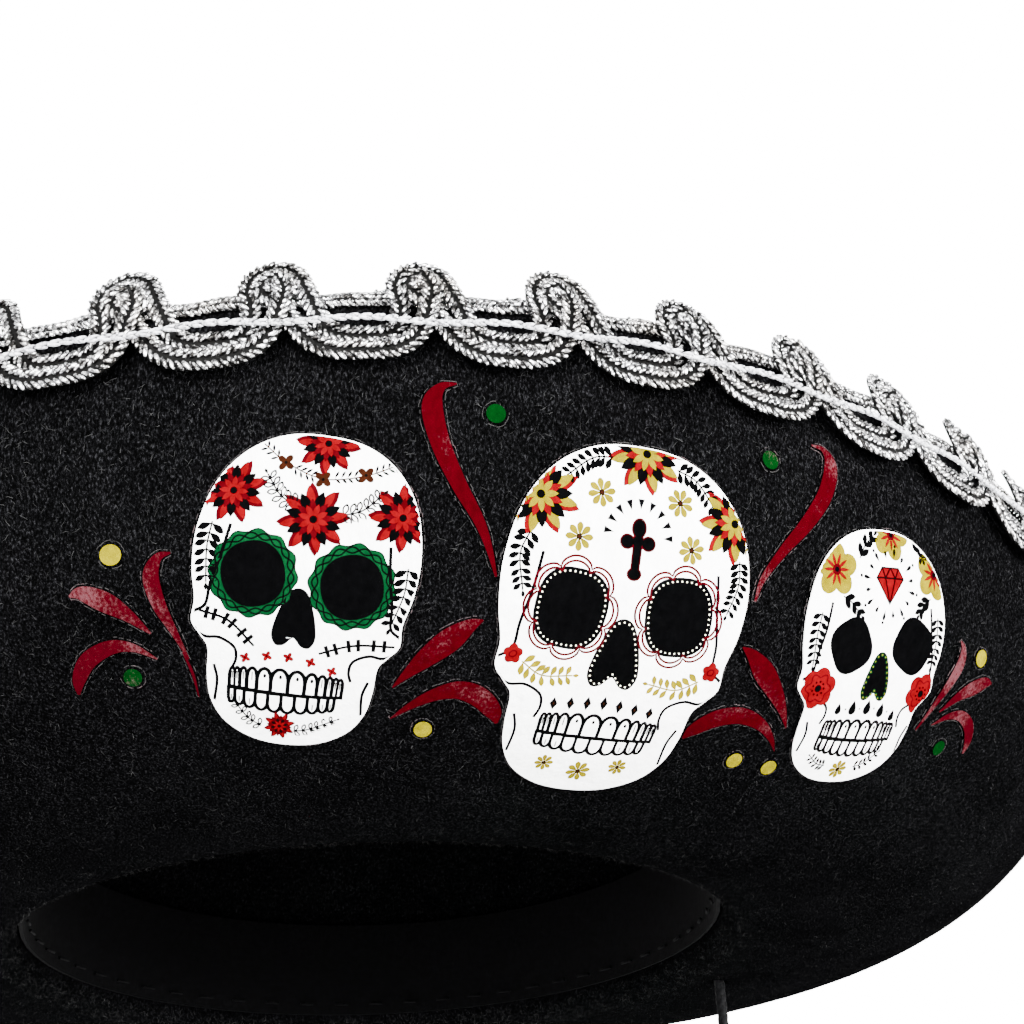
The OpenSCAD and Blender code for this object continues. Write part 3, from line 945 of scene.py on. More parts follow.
class Print:
    """One skull's drawing: marks by colour and by the order in which they lie on each other."""

    def __init__(self, outline):
        self.outline = outline
        self.marks = {}

    def put(self, colour, level, *rings):
        self.marks.setdefault((colour, level), []).append([self.inside(r) for r in rings])

    def inside(self, ring):
        """Pulls what would stand over the film's edge back on to it."""
        out = []
        for x, y in ring:
            b = math.atan2(y, x)
            nearest = min(self.outline, key=lambda q: abs(
                math.remainder(math.atan2(q[1], q[0]) - b, TAU)))
            far = math.hypot(*nearest) - 0.25
            r = math.hypot(x, y)
            out.append((x * far / r, y * far / r) if r > far else (x, y))
        return out


def flower(p, x, y, r, colours, turn=0.0, petals=8):
    """A layered flower: rimmed outer petals, darker ones between, two inner rounds and a centre."""
    rim, outer, between, inner, heart = colours
    for b, _, _ in around(x, y, r, r, petals, turn):
        p.put(rim, 1, petal(x, y, r * 1.08, r * 0.36, b, 0.35))
        p.put(inner, 4, petal(x, y, r * 0.6, r * 0.2, b, 0.2))
        c = b + 0.09
        p.put(outer, 2, petal(x + 0.1 * r * math.cos(c), y + 0.1 * r * math.sin(c),
                              r * 0.9, r * 0.27, c, 0.35))
    for b, _, _ in around(x, y, r, r, petals, turn, 0.5):
        p.put(between, 3, petal(x, y, r * 0.84, r * 0.29, b, 0.35))
        p.put(heart, 5, petal(x, y, r * 0.46, r * 0.17, b, 0.2))
    p.put("black", 6, ellipse(x, y, r * 0.11, n=12))


def daisy(p, x, y, r, turn=0.0, petals=8):
    """A plain yellow flower with a ring of dots."""
    for b, _, _ in around(x, y, r, r, petals, turn):
        p.put("yellow", 1, petal(x, y, r, r * 0.46, b, 0.9))
    p.put("brown", 2, ellipse(x, y, r * 0.19, n=12))
    for _, u, v in around(x, y, r * 0.17, r * 0.17, 5, turn):
        p.put("black", 3, ellipse(u, v, r * 0.07, n=8))


def four_petals(p, colour, x, y, r, turn=0.0):
    """A small flower of four round petals."""
    for b, u, v in around(x, y, r * 0.52, r * 0.52, 4, turn, 0.5):
        p.put(colour, 1, ellipse(u, v, r * 0.5, r * 0.36, b, 12))
    p.put("black", 2, ellipse(x, y, r * 0.16, n=8))


def sprig(p, colour, points, pairs, leaf, open_leaf=False, spread=1.05):
    """A curved stem with pairs of leaves that grow smaller towards its tip."""
    stem = even([np.array(q, float) for q in smooth_line(points, 8)], 0.3)
    p.put(colour, 1, line(points, 0.28))
    n = len(stem) - 1
    for k in range(pairs):
        i = int(n * (k + 0.3) / pairs)
        d = stem[min(i + 1, n)] - stem[max(i - 1, 0)]
        b = math.atan2(d[1], d[0])
        size = leaf * (1.15 - 0.25 * k / pairs)
        for side in (-1, 1):
            shape = petal(stem[i][0], stem[i][1], size, size * 0.46, b + side * spread, 0.3)
            if open_leaf:
                p.put(colour, 1, *loop(shape[::-1], 0.27))
            else:
                p.put(colour, 1, shape)
    d = stem[-1] - stem[-2]
    p.put(colour, 1, petal(stem[-1][0], stem[-1][1], leaf * 0.6, leaf * 0.32,
                           math.atan2(d[1], d[0]), 0.3))


def sprigs(p, colour, pairs, leaf, *stems, **look):
    """Sprigs that share their number and size of leaves."""
    for points in stems:
        sprig(p, colour, points, pairs, leaf, **look)


def heart_nose(x, y, w, h, grow=0.0):
    """An upside-down heart."""
    half = [(0, 0.50), (0.20, 0.42), (0.36, 0.16), (0.47, -0.14), (0.49, -0.34), (0.38, -0.49),
            (0.20, -0.48), (0.07, -0.38)]
    pts = [(u * w, v * h) for u, v in half] + [(0, -0.34 * h)]
    pts += [(-u * w, v * h) for u, v in half[:0:-1]]
    pts = smooth_line(pts, 4, closed=True)
    out = []
    for q in pts:
        r = math.hypot(q[0], q[1])
        out.append((x + q[0] * (1 + grow / r), y + q[1] * (1 + grow / r)))
    return out


def dots_round(p, colour, level, ring, count, size):
    """Dots spaced evenly along a closed line."""
    pts = [np.array(q, float) for q in ring] + [np.array(ring[0], float)]
    total = sum(math.dist(a, b) for a, b in zip(pts, pts[1:]))
    for q in even(pts, total / count)[:-1]:
        p.put(colour, level, ellipse(q[0], q[1], size, n=8))


def tooth(x, flat, w, h, row, grow=0.0):
    """One tooth: square where the rows meet, round at the gum; row is 1 above and -1 below."""
    w, h = w + 2 * grow, h + grow
    out = [(x - w / 2, flat - row * grow), (x - w / 2, flat + row * h * 0.5)]
    for k in range(1, 10):
        b = math.pi * k / 10
        out.append((x - w / 2 * math.cos(b), flat + row * h * (0.5 + 0.5 * math.sin(b))))
    out += [(x + w / 2, flat + row * h * 0.5), (x + w / 2, flat - row * grow)]
    return out


def teeth(p, x, y, width, upper, lower, bow=0.7):
    """Two rows of teeth in black outlines, large in the middle and small at the corners."""
    upper_row = (0.8, 1.1, 1.5, 2.1, 2.9, 3.6, 3.5, 2.6, 1.8, 1.4, 1.1, 0.8)
    lower_row = (1.2, 1.7, 2.1, 2.3, 2.5, 2.5, 2.4, 2.1, 1.7, 1.2)
    for row, tall, shares in ((1, upper, upper_row), (-1, lower, lower_row)):
        total = sum(shares)
        at = -1.0
        for share in shares:
            wide = 2 * share / total
            u = at + wide / 2
            at += wide
            tx = x + u * width / 2 * (1 if row > 0 else 0.97) - (0 if row > 0 else 0.6)
            flat = y - bow * (1 - u * u) + row * 0.45
            h = tall * (1 - 0.3 * u * u)
            w = max(0.3, wide * width / 2 - 0.8)
            p.put("black", 1, tooth(tx, flat, w, h, row, 0.72))
            p.put("white", 2, tooth(tx, flat, w, h, row))
            if abs(u) > 0.45:
                p.put("black", 3, line([(tx, flat + row * h * 0.9),
                                        (tx, flat + row * h * 0.45)], 0.2))
            elif row > 0:
                p.put("black", 3, ellipse(tx + 0.05 * w, flat + h * 0.74, 0.3, 0.4, n=8))


def skull_edge(w, h, jaw=1.0, crown=1.0, chin=1.0, shift=0.0):
    """The film's outline: round cranium, cheekbones, a notch under each and a narrower jaw."""
    half = [(0, 35), (8.2, 34), (15.2, 30), (20.4, 23), (23.1, 13.5), (23.3, 5), (22.3, -1.5),
            (22.7, -6.2), (20.7, -9.2), (18.9, -12), (18.9, -18), (18.0, -24), (14.6, -29.6),
            (8.0, -33.6)]
    pts = [(u * w / 46 * (jaw if v < -9 else 1), v * h / 70) for u, v in half]
    pts += [(0, -34.8 * h / 70)]
    pts += [(-u, v) for u, v in pts[-2:0:-1]]
    pts = [(u + shift, v * (crown if v > 0 else chin)) for u, v in pts]
    return [tuple(q[:2]) for q in smooth_line(pts, 5, closed=True)][::-1]


def face_lines(p, k, m, x=0.0):
    """Temples, cheekbones and jaw as drawn lines; k and m are shares of width and height."""
    for side in (-1, 1):
        for points in ([(16.4, 14.4), (17.6, 8), (19.2, 2), (19.9, -2.6), (22.4, -4.4)],
                       [(22.6, -8.0), (19.6, -9.6), (16.4, -9.6), (13.2, -11.4), (12.6, -14.0),
                        (13.4, -16.4)],
                       [(17.4, -15.8), (16.6, -19.4), (17.2, -24.6)]):
            p.put("black", 1, line([(x + side * u * k, v * m) for u, v in points], 0.56))


def flat_marks(marks):
    """Flat meshes of filled marks. Marks that overlap go on sheets of their own, so that no two
    cancel out."""
    sheets = []
    for rings in marks:
        xs, ys = [q[0] for q in rings[0]], [q[1] for q in rings[0]]
        box = (min(xs), min(ys), max(xs), max(ys))
        for sheet in sheets:
            if all(box[0] > o[2] or box[2] < o[0] or box[1] > o[3] or box[3] < o[1]
                   for o, _ in sheet):
                sheet.append((box, rings))
                break
        else:
            sheets.append([(box, rings)])
    drawn = []
    for sheet in sheets:
        curve = bpy.data.curves.new("drawing", "CURVE")
        curve.dimensions = "2D"
        curve.fill_mode = "BOTH"
        for _, rings in sheet:
            for ring in rings:
                spline = curve.splines.new("POLY")
                spline.points.add(len(ring) - 1)
                for point, q in zip(spline.points, ring):
                    point.co = (q[0] * MM, q[1] * MM, 0, 1)
                spline.use_cyclic_u = True
        obj = bpy.data.objects.new("drawing", curve)
        bpy.context.scene.collection.objects.link(obj)
        drawn.append(obj)
    bpy.ops.object.select_all(action="DESELECT")
    for obj in drawn:
        obj.select_set(True)
    bpy.context.view_layer.objects.active = drawn[0]
    bpy.ops.object.convert(target="MESH")
    return list(bpy.context.selected_objects)


def cut_in_grid(obj, cell):
    """Cuts a flat drawing along a grid, so that it can follow a curved surface."""
    xs = [v.co.x for v in obj.data.vertices]
    ys = [v.co.y for v in obj.data.vertices]
    only(obj)
    bpy.ops.object.mode_set(mode="EDIT")
    for values, normal in ((xs, (1, 0, 0)), (ys, (0, 1, 0))):
        at = math.floor(min(values) / (cell * MM)) * cell * MM
        while at < max(values):
            bpy.ops.mesh.select_all(action="SELECT")
            bpy.ops.mesh.bisect(plane_co=[at * n for n in normal], plane_no=normal)
            at += cell * MM
    bpy.ops.object.mode_set(mode="OBJECT")


def lay_on_brim(name, layers, place, finish, slot, cell=3.0, replaces=()):
    """Lays flat drawings on the brim: layers maps a height and a thickness to its marks."""
    parts = []
    for (height, thick), marks in layers.items():
        part = join(flat_marks(marks), name)
        cut_in_grid(part, cell)
        for v in part.data.vertices:
            v.co = Vector(place(v.co.x / MM, v.co.y / MM, height)) * MM
        only(part)
        bpy.ops.object.mode_set(mode="EDIT")
        bpy.ops.mesh.select_all(action="SELECT")
        bpy.ops.mesh.remove_doubles(threshold=0.000002)
        bpy.ops.object.mode_set(mode="OBJECT")
        out = Vector(place(0, 0, 1)) - Vector(place(0, 0, 0))
        part.data.update()
        if sum(f.normal.dot(out) * f.area for f in part.data.polygons) < 0:
            part.data.flip_normals()
        apply_modifier(part, "SOLIDIFY", thickness=thick * MM, offset=1)
        parts.append(part)
    obj = join(parts, name)
    return dress(obj, finish, slot, replaces=replaces)


def decal_place(a0, s0, lean):
    """How a drawing lies on the brim: round an angle and an arc length, leaning in degrees."""
    c, s = math.cos(math.radians(lean)), math.sin(math.radians(lean))

    def place(x, y, h):
        return on_brim(math.radians(a0) + (x * c - y * s) / CHART_R, s0 + x * s + y * c, h)
    return place


SLOT_OF = {"red": "film_red", "dark_red": "film_red", "yellow": "film_yellow",
           "green": "film_green"}      # the other inks take the film's own slot


def broken_edge(ring, width=0.10):
    """A thin broken line round a decal: a painted highlight where the clear film's cut edge catches
    the light.
    """
    pts = [np.array(q, float) for q in ring] + [np.array(ring[0], float)]
    pts = even(pts, 0.35)
    out, i = [], 0
    while i < len(pts) - 3:
        run = rng.randint(1, 3)
        if rng.random() < 0.75:
            drift = (rng.uniform(-0.12, 0.12), rng.uniform(-0.12, 0.12))
            stretch = [pts[min(j, len(pts) - 1)] + drift for j in range(i, i + run + 1)]
            out.append([line(stretch, width * rng.uniform(0.5, 1.5))])
        i += run + (rng.random() < 0.4)
    return out


def make_skull(word, p, a0, s0, lean):
    """Lays a skull's film, its inks colour by colour, and the painted highlight along its cut edge.
    """
    place = decal_place(a0, s0, lean)
    name = f"skull_{word}"
    lay_on_brim(name + "_film", {(FILM_H, FILM_T): [[p.outline]]}, place, CREASE_SHADED_FILM, "film_white",
                2.0, replaces=[name])
    for colour in sorted({c for c, _ in p.marks}):
        layers = {}
        for (c, level), marks in sorted(p.marks.items(), key=lambda item: item[0][1]):
            if c == colour:
                layers[(FILM_H + FILM_T + INK_T * (level - 1) - 0.01, INK_T)] = marks
        lay_on_brim(f"{name}_{colour}_print", layers, place, INKS[colour],
                    SLOT_OF.get(colour, "film_white"))
    grown = []
    for x, y in p.outline:
        more = 1 + 0.45 / math.hypot(x, y)
        grown.append((x * more, y * more))
    lay_on_brim(name + "_edge_highlight", {EDGE_LAYER: broken_edge(grown)}, place, EDGE_HIGHLIGHT_INK, "film_white")


def scallop(b):
    """How far a ring of eight lobes reaches at each angle, as a share."""
    return 0.87 + 0.17 * abs(math.cos(4 * b)) ** 0.6


def middle_skull():
    """The middle skull: yellow and black flowers, a budded cross, dotted eye rings."""
    p = Print(skull_edge(46, 70, crown=0.97, chin=0.995))
    face_lines(p, 1, 1)
    for side, y in ((-1, 5.0), (1, 5.8)):
        x = side * 10.3
        p.put("black", 1, ellipse(x, y, 6.7, 7.2, side * 0.12, 40, 2.6))
        dots_round(p, "cream", 2, ellipse(x, y, 6.0, 6.5, side * 0.12, 48, 2.6), 44, 0.15)
        for r in (7.5, 8.35):
            ring = wave(x, y, 96, lambda b: r * scallop(b), lambda b: (r + 0.5) * scallop(b))
            p.put("dark_red", 1, *loop(ring, 0.42))
    p.put("black", 1, heart_nose(0.0, -2.3, 10.2, 13.2))
    dots_round(p, "cream", 2, heart_nose(0.0, -2.3, 10.2, 13.2, -0.65), 36, 0.15)
    cx, cy = 0.2, 16.8
    for grow, colour, level in ((0.26, "dark_red", 1), (0.0, "black", 2)):
        p.put(colour, level, [(cx - 0.62 - grow, cy - 4.4), (cx + 0.62 + grow, cy - 4.4),
                              (cx + 0.7 + grow, cy + 1.0), (cx - 0.7 - grow, cy + 1.0)])
        for x, y, rx, ry, n in ((0, 3.2, 1.15, 1.55, 20), (-1.95, 0.8, 1.15, 1.1, 18),
                                (1.95, 0.8, 1.15, 1.1, 18), (0, 1.0, 1.0, 1.0, 18),
                                (0, -4.6, 1.15, 0.95, 18)):
            p.put(colour, level, ellipse(cx + x, cy + y, rx + grow, ry + grow, n=n))
    for k in range(9):
        b = math.radians(8 + 20.5 * k)
        c, s = math.cos(b), math.sin(b)
        x, y = 0.2 + 4.6 * c, 18.2 + 5.0 * s
        p.put("black", 1, [(x, y), (x + 1.8 * c - 0.6 * s, y + 1.8 * s + 0.6 * c),
                           (x + 1.8 * c + 0.6 * s, y + 1.8 * s - 0.6 * c)])
    for x, y, turn in ((0.8, 32.8, 0.2), (-17.6, 23.8, 0.5), (18.2, 23.8, 0.1)):
        flower(p, x, y, 6.6, ("red", "yellow", "black", "red", "yellow"), turn)
    for x, y, turn in ((-7, 25.2, 0.2), (7.4, 25.4, 0.5), (-10.4, 17.4, 0.0), (10.4, 17.8, 0.3)):
        daisy(p, x, y, 2.5, turn)
    sprigs(p, "black", 8, 2.0, [(-5.2, 31.4), (-8.8, 30.8), (-13.2, 27.4)],
           [(6.6, 31.0), (10.4, 29.6), (14.2, 25.4)])
    sprig(p, "black", [(-18.8, 17.8), (-20.4, 13.6), (-19.4, 7.6)], 8, 2.1)
    sprig(p, "black", [(20.2, 17.6), (20.8, 13.4), (19.6, 8.0)], 8, 2.0)
    for side in (-1, 1):
        x, y = side * 19.7, -3.4 + side * 0.4
        for b, u, v in around(x, y, 0.8, 0.9, 5, 0.3):
            p.put("red", 2, ellipse(u, v, 1.05, 0.9, b, 14))
        p.put("dark_red", 3, *loop(ellipse(x, y, 0.7, 0.55, 0.5, 14), 0.2))
        sprig(p, "yellow", [(side * 17.8, -5.2), (side * 13.6, -7.6), (side * 7.8, -7.2)], 7, 2.2,
              spread=1.15)
    for k in range(7):
        near = 1 - abs(k - 3) / 3
        x, y, tall = -10.1 + 3.36 * k, -13.1 + 0.9 * near, 1.35 + 0.2 * near
        p.put("black", 1, [(x - 0.8, y), (x, y - tall), (x + 0.8, y), (x, y + tall)])
        p.put("brown", 2, ellipse(x, y, 0.16, 0.3, n=8))
    teeth(p, 0.4, -19.4, 24.4, 4.4, 3.1)
    for x, y, turn in ((-8.3, -27.2, 0.1), (0.0, -28.8, 0.3), (8.4, -26.6, 0.0)):
        daisy(p, x, y, 2.1 if x else 2.7, turn)
    return p


def garland_skull():
    """The left-hand skull: green eye rings, red flowers and a garland."""
    p = Print(skull_edge(36.8, 56.5, crown=0.98, chin=1.01, shift=-0.5))
    face_lines(p, 0.8, 0.8, -0.5)
    for x in (-9.0, 7.6):
        y = 3.8
        rim = wave(x, y, 96, lambda b: 7.2 + 0.28 * math.cos(12 * b))
        p.put("green", 1, rim)
        for phase in (0.0, math.pi):
            ripple = wave(x, y, 108, lambda b: 6.3 + 0.5 * math.cos(9 * b + phase))
            p.put("black", 2, *loop(ripple, 0.24))
        p.put("black", 1, *loop(rim, 0.22))
        p.put("black", 3, ellipse(x, y, 5.3, 5.5, 0.3, 36, 2.2))
    p.put("black", 1, heart_nose(-1.0, -2.8, 7.8, 10.4))
    for x, y, r, turn in ((-0.6, 13.9, 5.6, 0.2), (-0.4, 26.4, 4.9, 0.0), (-13.9, 16.9, 5.1, 0.4),
                          (13.6, 16.6, 5.4, 0.1)):
        flower(p, x, y, r, ("dark_red", "red", "black", "dark_red", "red"), turn)
    garland = [(-10.4, 25.0), (-6.4, 22.4), (-0.2, 20.6), (6.4, 22.2), (12.2, 25.6)]
    p.put("brown", 1, line(garland, 0.22))
    for x, y in ((-6.5, 22.4), (-0.2, 20.5), (6.4, 22.3)):
        four_petals(p, "brown", x, y, 1.5, 0.2)
    for x, y, b in ((-7.8, 23.1, 2.6), (-8.7, 23.8, 2.6), (-9.6, 24.4, 2.6), (-4.9, 21.7, -0.4),
                    (-4.0, 21.4, -0.4), (-3.1, 21.1, -0.2), (-2.2, 20.9, -0.2), (1.6, 21.0, 0.3),
                    (2.6, 21.2, 0.3), (3.6, 21.4, 0.3), (4.6, 21.7, 0.3), (7.9, 22.9, 0.6),
                    (8.8, 23.4, 0.6), (9.7, 24.0, 0.6), (10.6, 24.6, 0.7)):
        for side in (-1, 1):
            p.put("black", 1, petal(x, y, 1.3, 0.42, b + side * 0.9, 0.2))
    sprigs(p, "black", 6, 1.6, [(-3.6, 15.8), (-6.4, 17.0), (-9.0, 20.2)],
           [(3.8, 15.2), (7.0, 16.6), (9.8, 19.8)], open_leaf=True)
    sprigs(p, "black", 7, 2.2, [(-16.6, 11.6), (-17.0, 7.4), (-16.6, 1.6)],
           [(16.2, 8.6), (16.4, 4.0), (15.2, -2.0)])
    for points in ([(-17.4, -3.2), (-12.2, -4.6), (-7.6, -8.6)],
                   [(3.8, -8.6), (9.6, -6.2), (16.8, -5.2)]):
        seam = smooth_line(points, 8)
        p.put("black", 1, line(points, 0.45))
        for k in range(1, 7):
            i = int(len(seam) * k / 7)
            q = seam[i]
            d = seam[min(i + 1, len(seam) - 1)] - q
            b = math.atan2(d[1], d[0]) + math.pi / 2
            u, v = 1.1 * math.cos(b), 1.1 * math.sin(b)
            p.put("black", 1, line([(q[0] - u, q[1] - v), (q[0] + u, q[1] + v)], 0.7))
    for x, y in ((-9.0, -10.9), (-5.2, -10.2), (-1.4, -10.0), (2.6, -10.4), (6.6, -11.6)):
        four_petals(p, "red", x, y, 1.0, 0.4)
    teeth(p, -1.3, -16.6, 20.2, 4.0, 3.0)
    flower(p, -1.9, -24.0, 2.9, ("dark_red", "red", "dark_red", "black", "red"), 0.3)
    sprigs(p, "black", 6, 1.3, [(-5.4, -24.4), (-8.2, -22.6), (-11.2, -18.6)],
           [(0.8, -25.0), (3.8, -24.2), (8.8, -21.4)], open_leaf=True)
    return p


def drop(x, y, r):
    """A drop: round below and drawn out to a point above."""
    out = []
    for b, u, v in around(0, 0, r, r, 20):
        s = math.sin(b)
        out.append((x + u * (1 if s < 0 else 1 - s ** 2 * 0.9), y + v * (1 if s < 0 else 2.3)))
    return out


def gem_skull():
    """The right-hand skull: yellow blossoms, a cut gem and red poppies."""
    p = Print(skull_edge(36.4, 54.5, crown=0.91, chin=0.99, shift=0.1))
    face_lines(p, 0.8, 0.78, 0.8)
    p.put("black", 1, ellipse(-6.6, 3.2, 4.9, 5.2, 0.5, 40, 2.8))
    p.put("black", 1, ellipse(9.9, 3.7, 5.4, 5.1, -0.5, 40, 2.8))
    p.put("black", 1, heart_nose(1.7, -2.6, 7.2, 9.8))
    for colour, level, size in (("green", 2, 0.36), ("yellow", 3, 0.15)):
        dots_round(p, colour, level, heart_nose(1.7, -2.6, 7.2, 9.8, -0.55), 24, size)
    for x, y, r, turn in ((2.6, 24.0, 4.6, 0.0), (-11.6, 17.2, 4.9, 0.3), (14.4, 17.6, 4.8, 0.1)):
        for b, u, v in around(x, y, r * 0.55, r * 0.55, 5, turn):
            p.put("yellow", 1, ellipse(u, v, r * 0.48, r * 0.42, b, 20))
        for b, _, _ in around(x, y, r, r, 10, turn, 0.5):
            p.put("red", 2, petal(x, y, r * 0.62, r * 0.13, b, 0.1))
        p.put("dark_red", 3, ellipse(x, y, r * 0.2, n=14))
        p.put("black", 4, ellipse(x, y, r * 0.1, n=10))
    gx, gy = 2.0, 14.9
    gem = [(gx - 3.6, gy + 1.2), (gx - 2.2, gy + 3.1), (gx + 2.2, gy + 3.1), (gx + 3.6, gy + 1.2),
           (gx, gy - 3.6)]
    p.put("red", 1, gem)
    for pts in ([(-3.6, 1.2), (3.6, 1.2)], [(-2.2, 3.1), (-1.3, 1.2), (0, -3.6)],
                [(2.2, 3.1), (1.3, 1.2), (0, -3.6)], [(-1.3, 1.2), (0, 3.1), (1.3, 1.2)]):
        for q, r in zip(pts, pts[1:]):
            p.put("black", 2, line([(gx + q[0], gy + q[1]), (gx + r[0], gy + r[1])], 0.25))
    p.put("black", 2, *loop(gem[:1] + gem[:0:-1], 0.3))
    for k, (b, x, y) in enumerate(around(gx, gy, 5.0, 4.8, 16, 0.0, 0.5)):
        p.put("black", 1, petal(x, y, 2.0 if k % 2 else 1.4, 0.75, b, 0.9))
        if k % 2:
            p.put("black", 1, ellipse(gx + 7.6 * math.cos(b), gy + 7.2 * math.sin(b), 0.32, n=8))
    sprigs(p, "black", 3, 2.3, [(-5.8, 19.4), (-4.4, 21.6), (-2.0, 23.6)],
           [(8.2, 23.8), (10.0, 22.6), (11.2, 20.4)], [(-9.8, 12.4), (-7.6, 11.2), (-5.2, 9.0)],
           [(13.6, 13.0), (11.8, 11.8), (10.6, 10.0)], spread=0.5)
    sprig(p, "black", [(-14.6, 9.4), (-15.4, 5.0), (-15.4, -0.6)], 7, 2.0)
    sprig(p, "black", [(16.2, 9.6), (16.6, 5.2), (16.2, 0.2)], 7, 1.9)
    for x, y, r in ((-13.0, -5.2, 4.3), (15.2, -5.4, 4.2)):
        for b, u, v in around(x, y, r * 0.5, r * 0.5, 6, 0.3):
            p.put("red", 2, ellipse(u, v, r * 0.5, r * 0.46, b, 20))
        fold = wave(x, y, 48, lambda b: r * (0.62 + 0.1 * math.cos(6 * b)))
        p.put("dark_red", 3, *loop(fold, 0.18))
        for _, u, v in around(x, y, r * 0.32, r * 0.32, 9):
            p.put("black", 3, ellipse(u, v, 0.2, n=8))
        p.put("black", 3, ellipse(x, y, r * 0.17, n=12))
    for x, y, r in ((-6.3, -9.9, 0.75), (-2.6, -9.7, 0.95), (1.3, -9.5, 0.95), (5.2, -10.0, 0.95),
                    (8.8, -10.8, 0.75)):
        p.put("black", 1, drop(x, y, r))
        p.put("black", 1, ellipse(x + 1.9, y + 0.4, 0.22, n=8))
    teeth(p, 0.9, -15.6, 18.6, 3.7, 2.9)
    daisy(p, 0.7, -23.4, 2.3, 0.2)
    sprigs(p, "black", 5, 1.4, [(-3.6, -22.6), (-6.0, -22.2), (-8.6, -20.4)],
           [(4.6, -22.6), (7.0, -21.6), (9.6, -18.8)])
    return p


make_skull("left", garland_skull(), -19.3, 79.1, -10.5)
make_skull("centre", middle_skull(), 0, 74.3, 0)
make_skull("right", gem_skull(), 19.3, 81.2, 13)

# ---- brush strokes and dots on the felt ----
# a stroke's points: along the rim from the front, up the brim, and the stroke's width there
STROKES = {
    "swirls_inner_left": (STROKE_RED, [
        [(-33.0, 118.2, 0.3), (-35.6, 117.4, 1.6), (-37.0, 114.0, 3.4), (-35.6, 107.5, 3.2),
         (-32.4, 100.5, 2.6), (-28.8, 94.5, 1.9), (-26.8, 90.0, 1.2), (-25.2, 85.2, 0.4)],
        [(-26.8, 77.4, 0.3), (-29.2, 76.2, 2.6), (-32.6, 73.4, 4.5), (-36.6, 69.9, 3.6),
         (-39.8, 66.8, 1.8), (-42.4, 64.0, 0.2)],
        [(-21.3, 56.6, 0.6), (-22.4, 59.2, 3.4), (-25.6, 62.2, 4.2), (-29.8, 63.6, 3.7),
         (-34.2, 62.6, 2.6), (-38.6, 60.2, 1.5), (-42.6, 57.2, 0.2)]]),
    "swirls_inner_right": (STROKE_RED, [
        [(36.0, 119.0, 0.3), (38.8, 118.8, 1.2), (40.2, 116.0, 2.9), (38.6, 110.0, 3.1),
         (34.8, 103.6, 2.7), (30.4, 97.6, 1.9), (26.8, 91.6, 1.2), (26.0, 87.2, 0.4)],
        [(26.0, 78.4, 0.3), (28.8, 77.2, 2.5), (32.6, 74.6, 4.4), (37.0, 71.2, 3.4),
         (40.8, 67.8, 1.7), (43.6, 64.6, 0.2)],
        [(20.6, 57.6, 0.5), (22.2, 60.0, 3.0), (26.2, 63.2, 3.9), (31.6, 64.9, 3.6),
         (37.2, 64.0, 2.5), (41.4, 61.6, 1.3), (44.2, 59.0, 0.2)]]),
    "swirls_outer_left": (STROKE_WORN, [
        [(-79.2, 90.6, 0.3), (-81.4, 90.0, 1.5), (-82.9, 87.0, 2.7), (-82.2, 82.0, 2.4),
         (-80.4, 77.0, 1.3), (-78.6, 71.6, 0.3)],
        [(-97.2, 85.4, 0.4), (-95.0, 85.6, 2.5), (-91.4, 83.6, 3.6), (-87.9, 80.8, 2.3),
         (-84.4, 77.0, 0.3)],
        [(-100.4, 67.4, 0.5), (-99.4, 70.2, 2.4), (-96.6, 73.6, 3.1), (-92.0, 75.4, 2.6),
         (-88.0, 74.8, 1.5), (-84.2, 72.2, 0.2)],
        [(-79.4, 73.0, 0.3), (-78.4, 68.6, 0.5), (-78.2, 64.0, 0.2)]]),
    "swirls_outer_right": (STROKE_WORN, [
        [(80.6, 94.2, 0.3), (82.2, 93.0, 1.4), (82.8, 90.0, 2.5), (81.6, 85.0, 2.1),
         (80.0, 80.0, 1.2), (78.4, 73.6, 0.3)],
        [(95.8, 90.2, 0.4), (93.6, 89.6, 2.3), (90.2, 87.2, 3.2), (86.4, 84.0, 2.1),
         (82.6, 79.2, 0.3)],
        [(98.8, 74.4, 0.5), (97.8, 77.2, 2.3), (95.0, 79.8, 2.9), (90.6, 80.8, 2.4),
         (86.4, 79.4, 1.4), (82.4, 76.0, 0.2)]]),
}
# a set of dots: finish, slot, radius, and each one's angle from the front and place up the brim
DOTS = {
    "dots_yellow": (DOT_YELLOW, "film_yellow", 1.8,
                    [(-30.4, 91.4), (-12.3, 54.6), (12.3, 54.6), (30.4, 93.4), (15.6, 54.8)]),
    "dots_green": (DOT_GREEN, "film_green", 1.7,
                   [(-30.5, 69.2), (-9, 113.2), (9, 113.4), (30.5, 72.6)]),
}


def front_chart(x, y, h):
    """Lays the strokes on the brim, drawn in a little towards its front and its opening."""
    x += 1.2 * math.copysign(min(1, abs(x) / 30), -x)
    return on_brim(x / CHART_R, y - 0.8 - 0.025 * (y - 60), h)


edge_marks = []
for name, (finish, strokes) in STROKES.items():
    shapes = [[line(points, 1)] for points in strokes]
    lay_on_brim(name + "_print", {STROKE_LAYER: shapes}, front_chart, finish, "film_red",
                replaces=[name])
    for points in strokes:
        edge_marks += broken_edge(line([(x, y, w + 0.8) for x, y, w in points], 1))
for name, (finish, slot, r, spots) in DOTS.items():
    marks = [[ellipse(math.radians(a) * CHART_R, s, r, n=28)] for a, s in spots]
    lay_on_brim(name + "_print", {STROKE_LAYER: marks}, front_chart, finish, slot, replaces=[name])
    for a, s in spots:
        edge_marks += broken_edge(ellipse(math.radians(a) * CHART_R, s, r + 0.6, n=36))
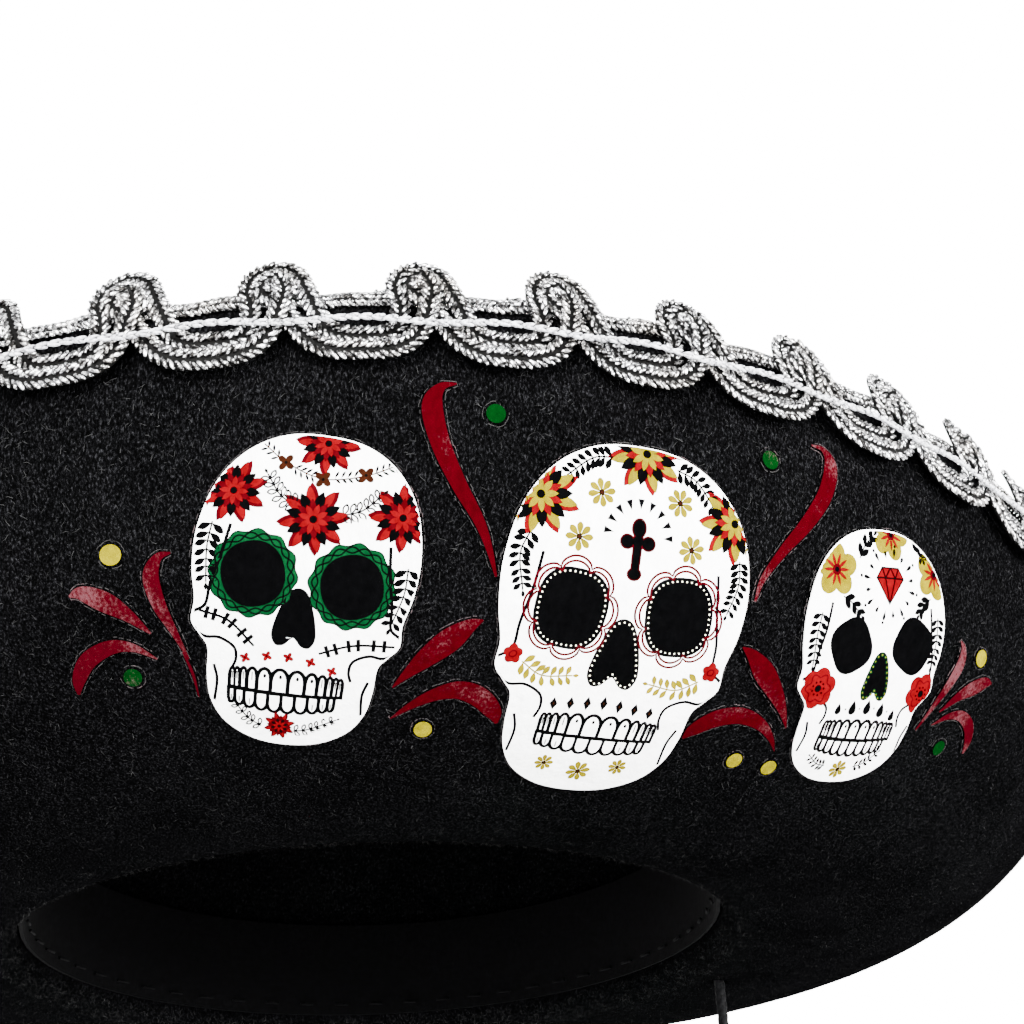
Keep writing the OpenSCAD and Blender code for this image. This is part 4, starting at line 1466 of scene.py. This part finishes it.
# the strokes' and dots' cut edges, drawn as a painted highlight
lay_on_brim("transfer_edge_highlights", {EDGE_LAYER: edge_marks}, front_chart, EDGE_HIGHLIGHT_INK, "film_white")


# ---- room and light ----
FLOOR_SIZE, FLOOR_Z = 60, -0.142
ROOM_LIGHT, BACKDROP = 2.3, 17.0        # the world as the hat gets it, and as it is seen
AIM = (0, -0.15, 0.02)
# a lamp's name, place, size and power
LAMPS = (("key", (-0.9, -1.5, 0.35), 0.9, 270), ("fill", (1.0, -1.1, -0.08), 0.8, 300),
         ("back", (-0.7, 1.5, 1.3), 1.4, 260))


def studio():
    """The floor, a white world that is brighter to look at than it lights, and three soft lamps."""
    bpy.ops.object.select_all(action="DESELECT")
    bpy.ops.mesh.primitive_plane_add(size=FLOOR_SIZE, location=(0, 0, FLOOR_Z))
    floor = bpy.context.object
    floor.name = "pale_floor"
    m, nodes, links, shader = material("pale floor")
    shade = noise_on(m, 3, (1, 1, 1), 2)
    links.new(ramp_on(m, shade, (0.3, (0.86,)), (0.7, (0.9,))), shader.inputs["Base Color"])
    shader.inputs["Roughness"].default_value = 0.7
    floor.data.materials.append(m)
    world = bpy.data.worlds.new("studio")
    bpy.context.scene.world = world
    world.use_nodes = True
    nodes, links = world.node_tree.nodes, world.node_tree.links
    nodes["Background"].inputs["Color"].default_value = (1, 1, 1, 1)
    seen = nodes.new("ShaderNodeLightPath")
    backdrop = nodes.new("ShaderNodeMapRange")
    backdrop.inputs["To Min"].default_value = ROOM_LIGHT
    backdrop.inputs["To Max"].default_value = BACKDROP
    links.new(seen.outputs["Is Camera Ray"], backdrop.inputs["Value"])
    links.new(backdrop.outputs["Result"], nodes["Background"].inputs["Strength"])
    for name, spot, size, power in LAMPS:
        lamp = bpy.data.lights.new(name, "AREA")
        lamp.size = size
        lamp.energy = power
        obj = bpy.data.objects.new(name, lamp)
        bpy.context.scene.collection.objects.link(obj)
        obj.location = spot
        obj.rotation_euler = (Vector(AIM) - Vector(spot)).to_track_quat("-Z", "Y").to_euler()


studio()
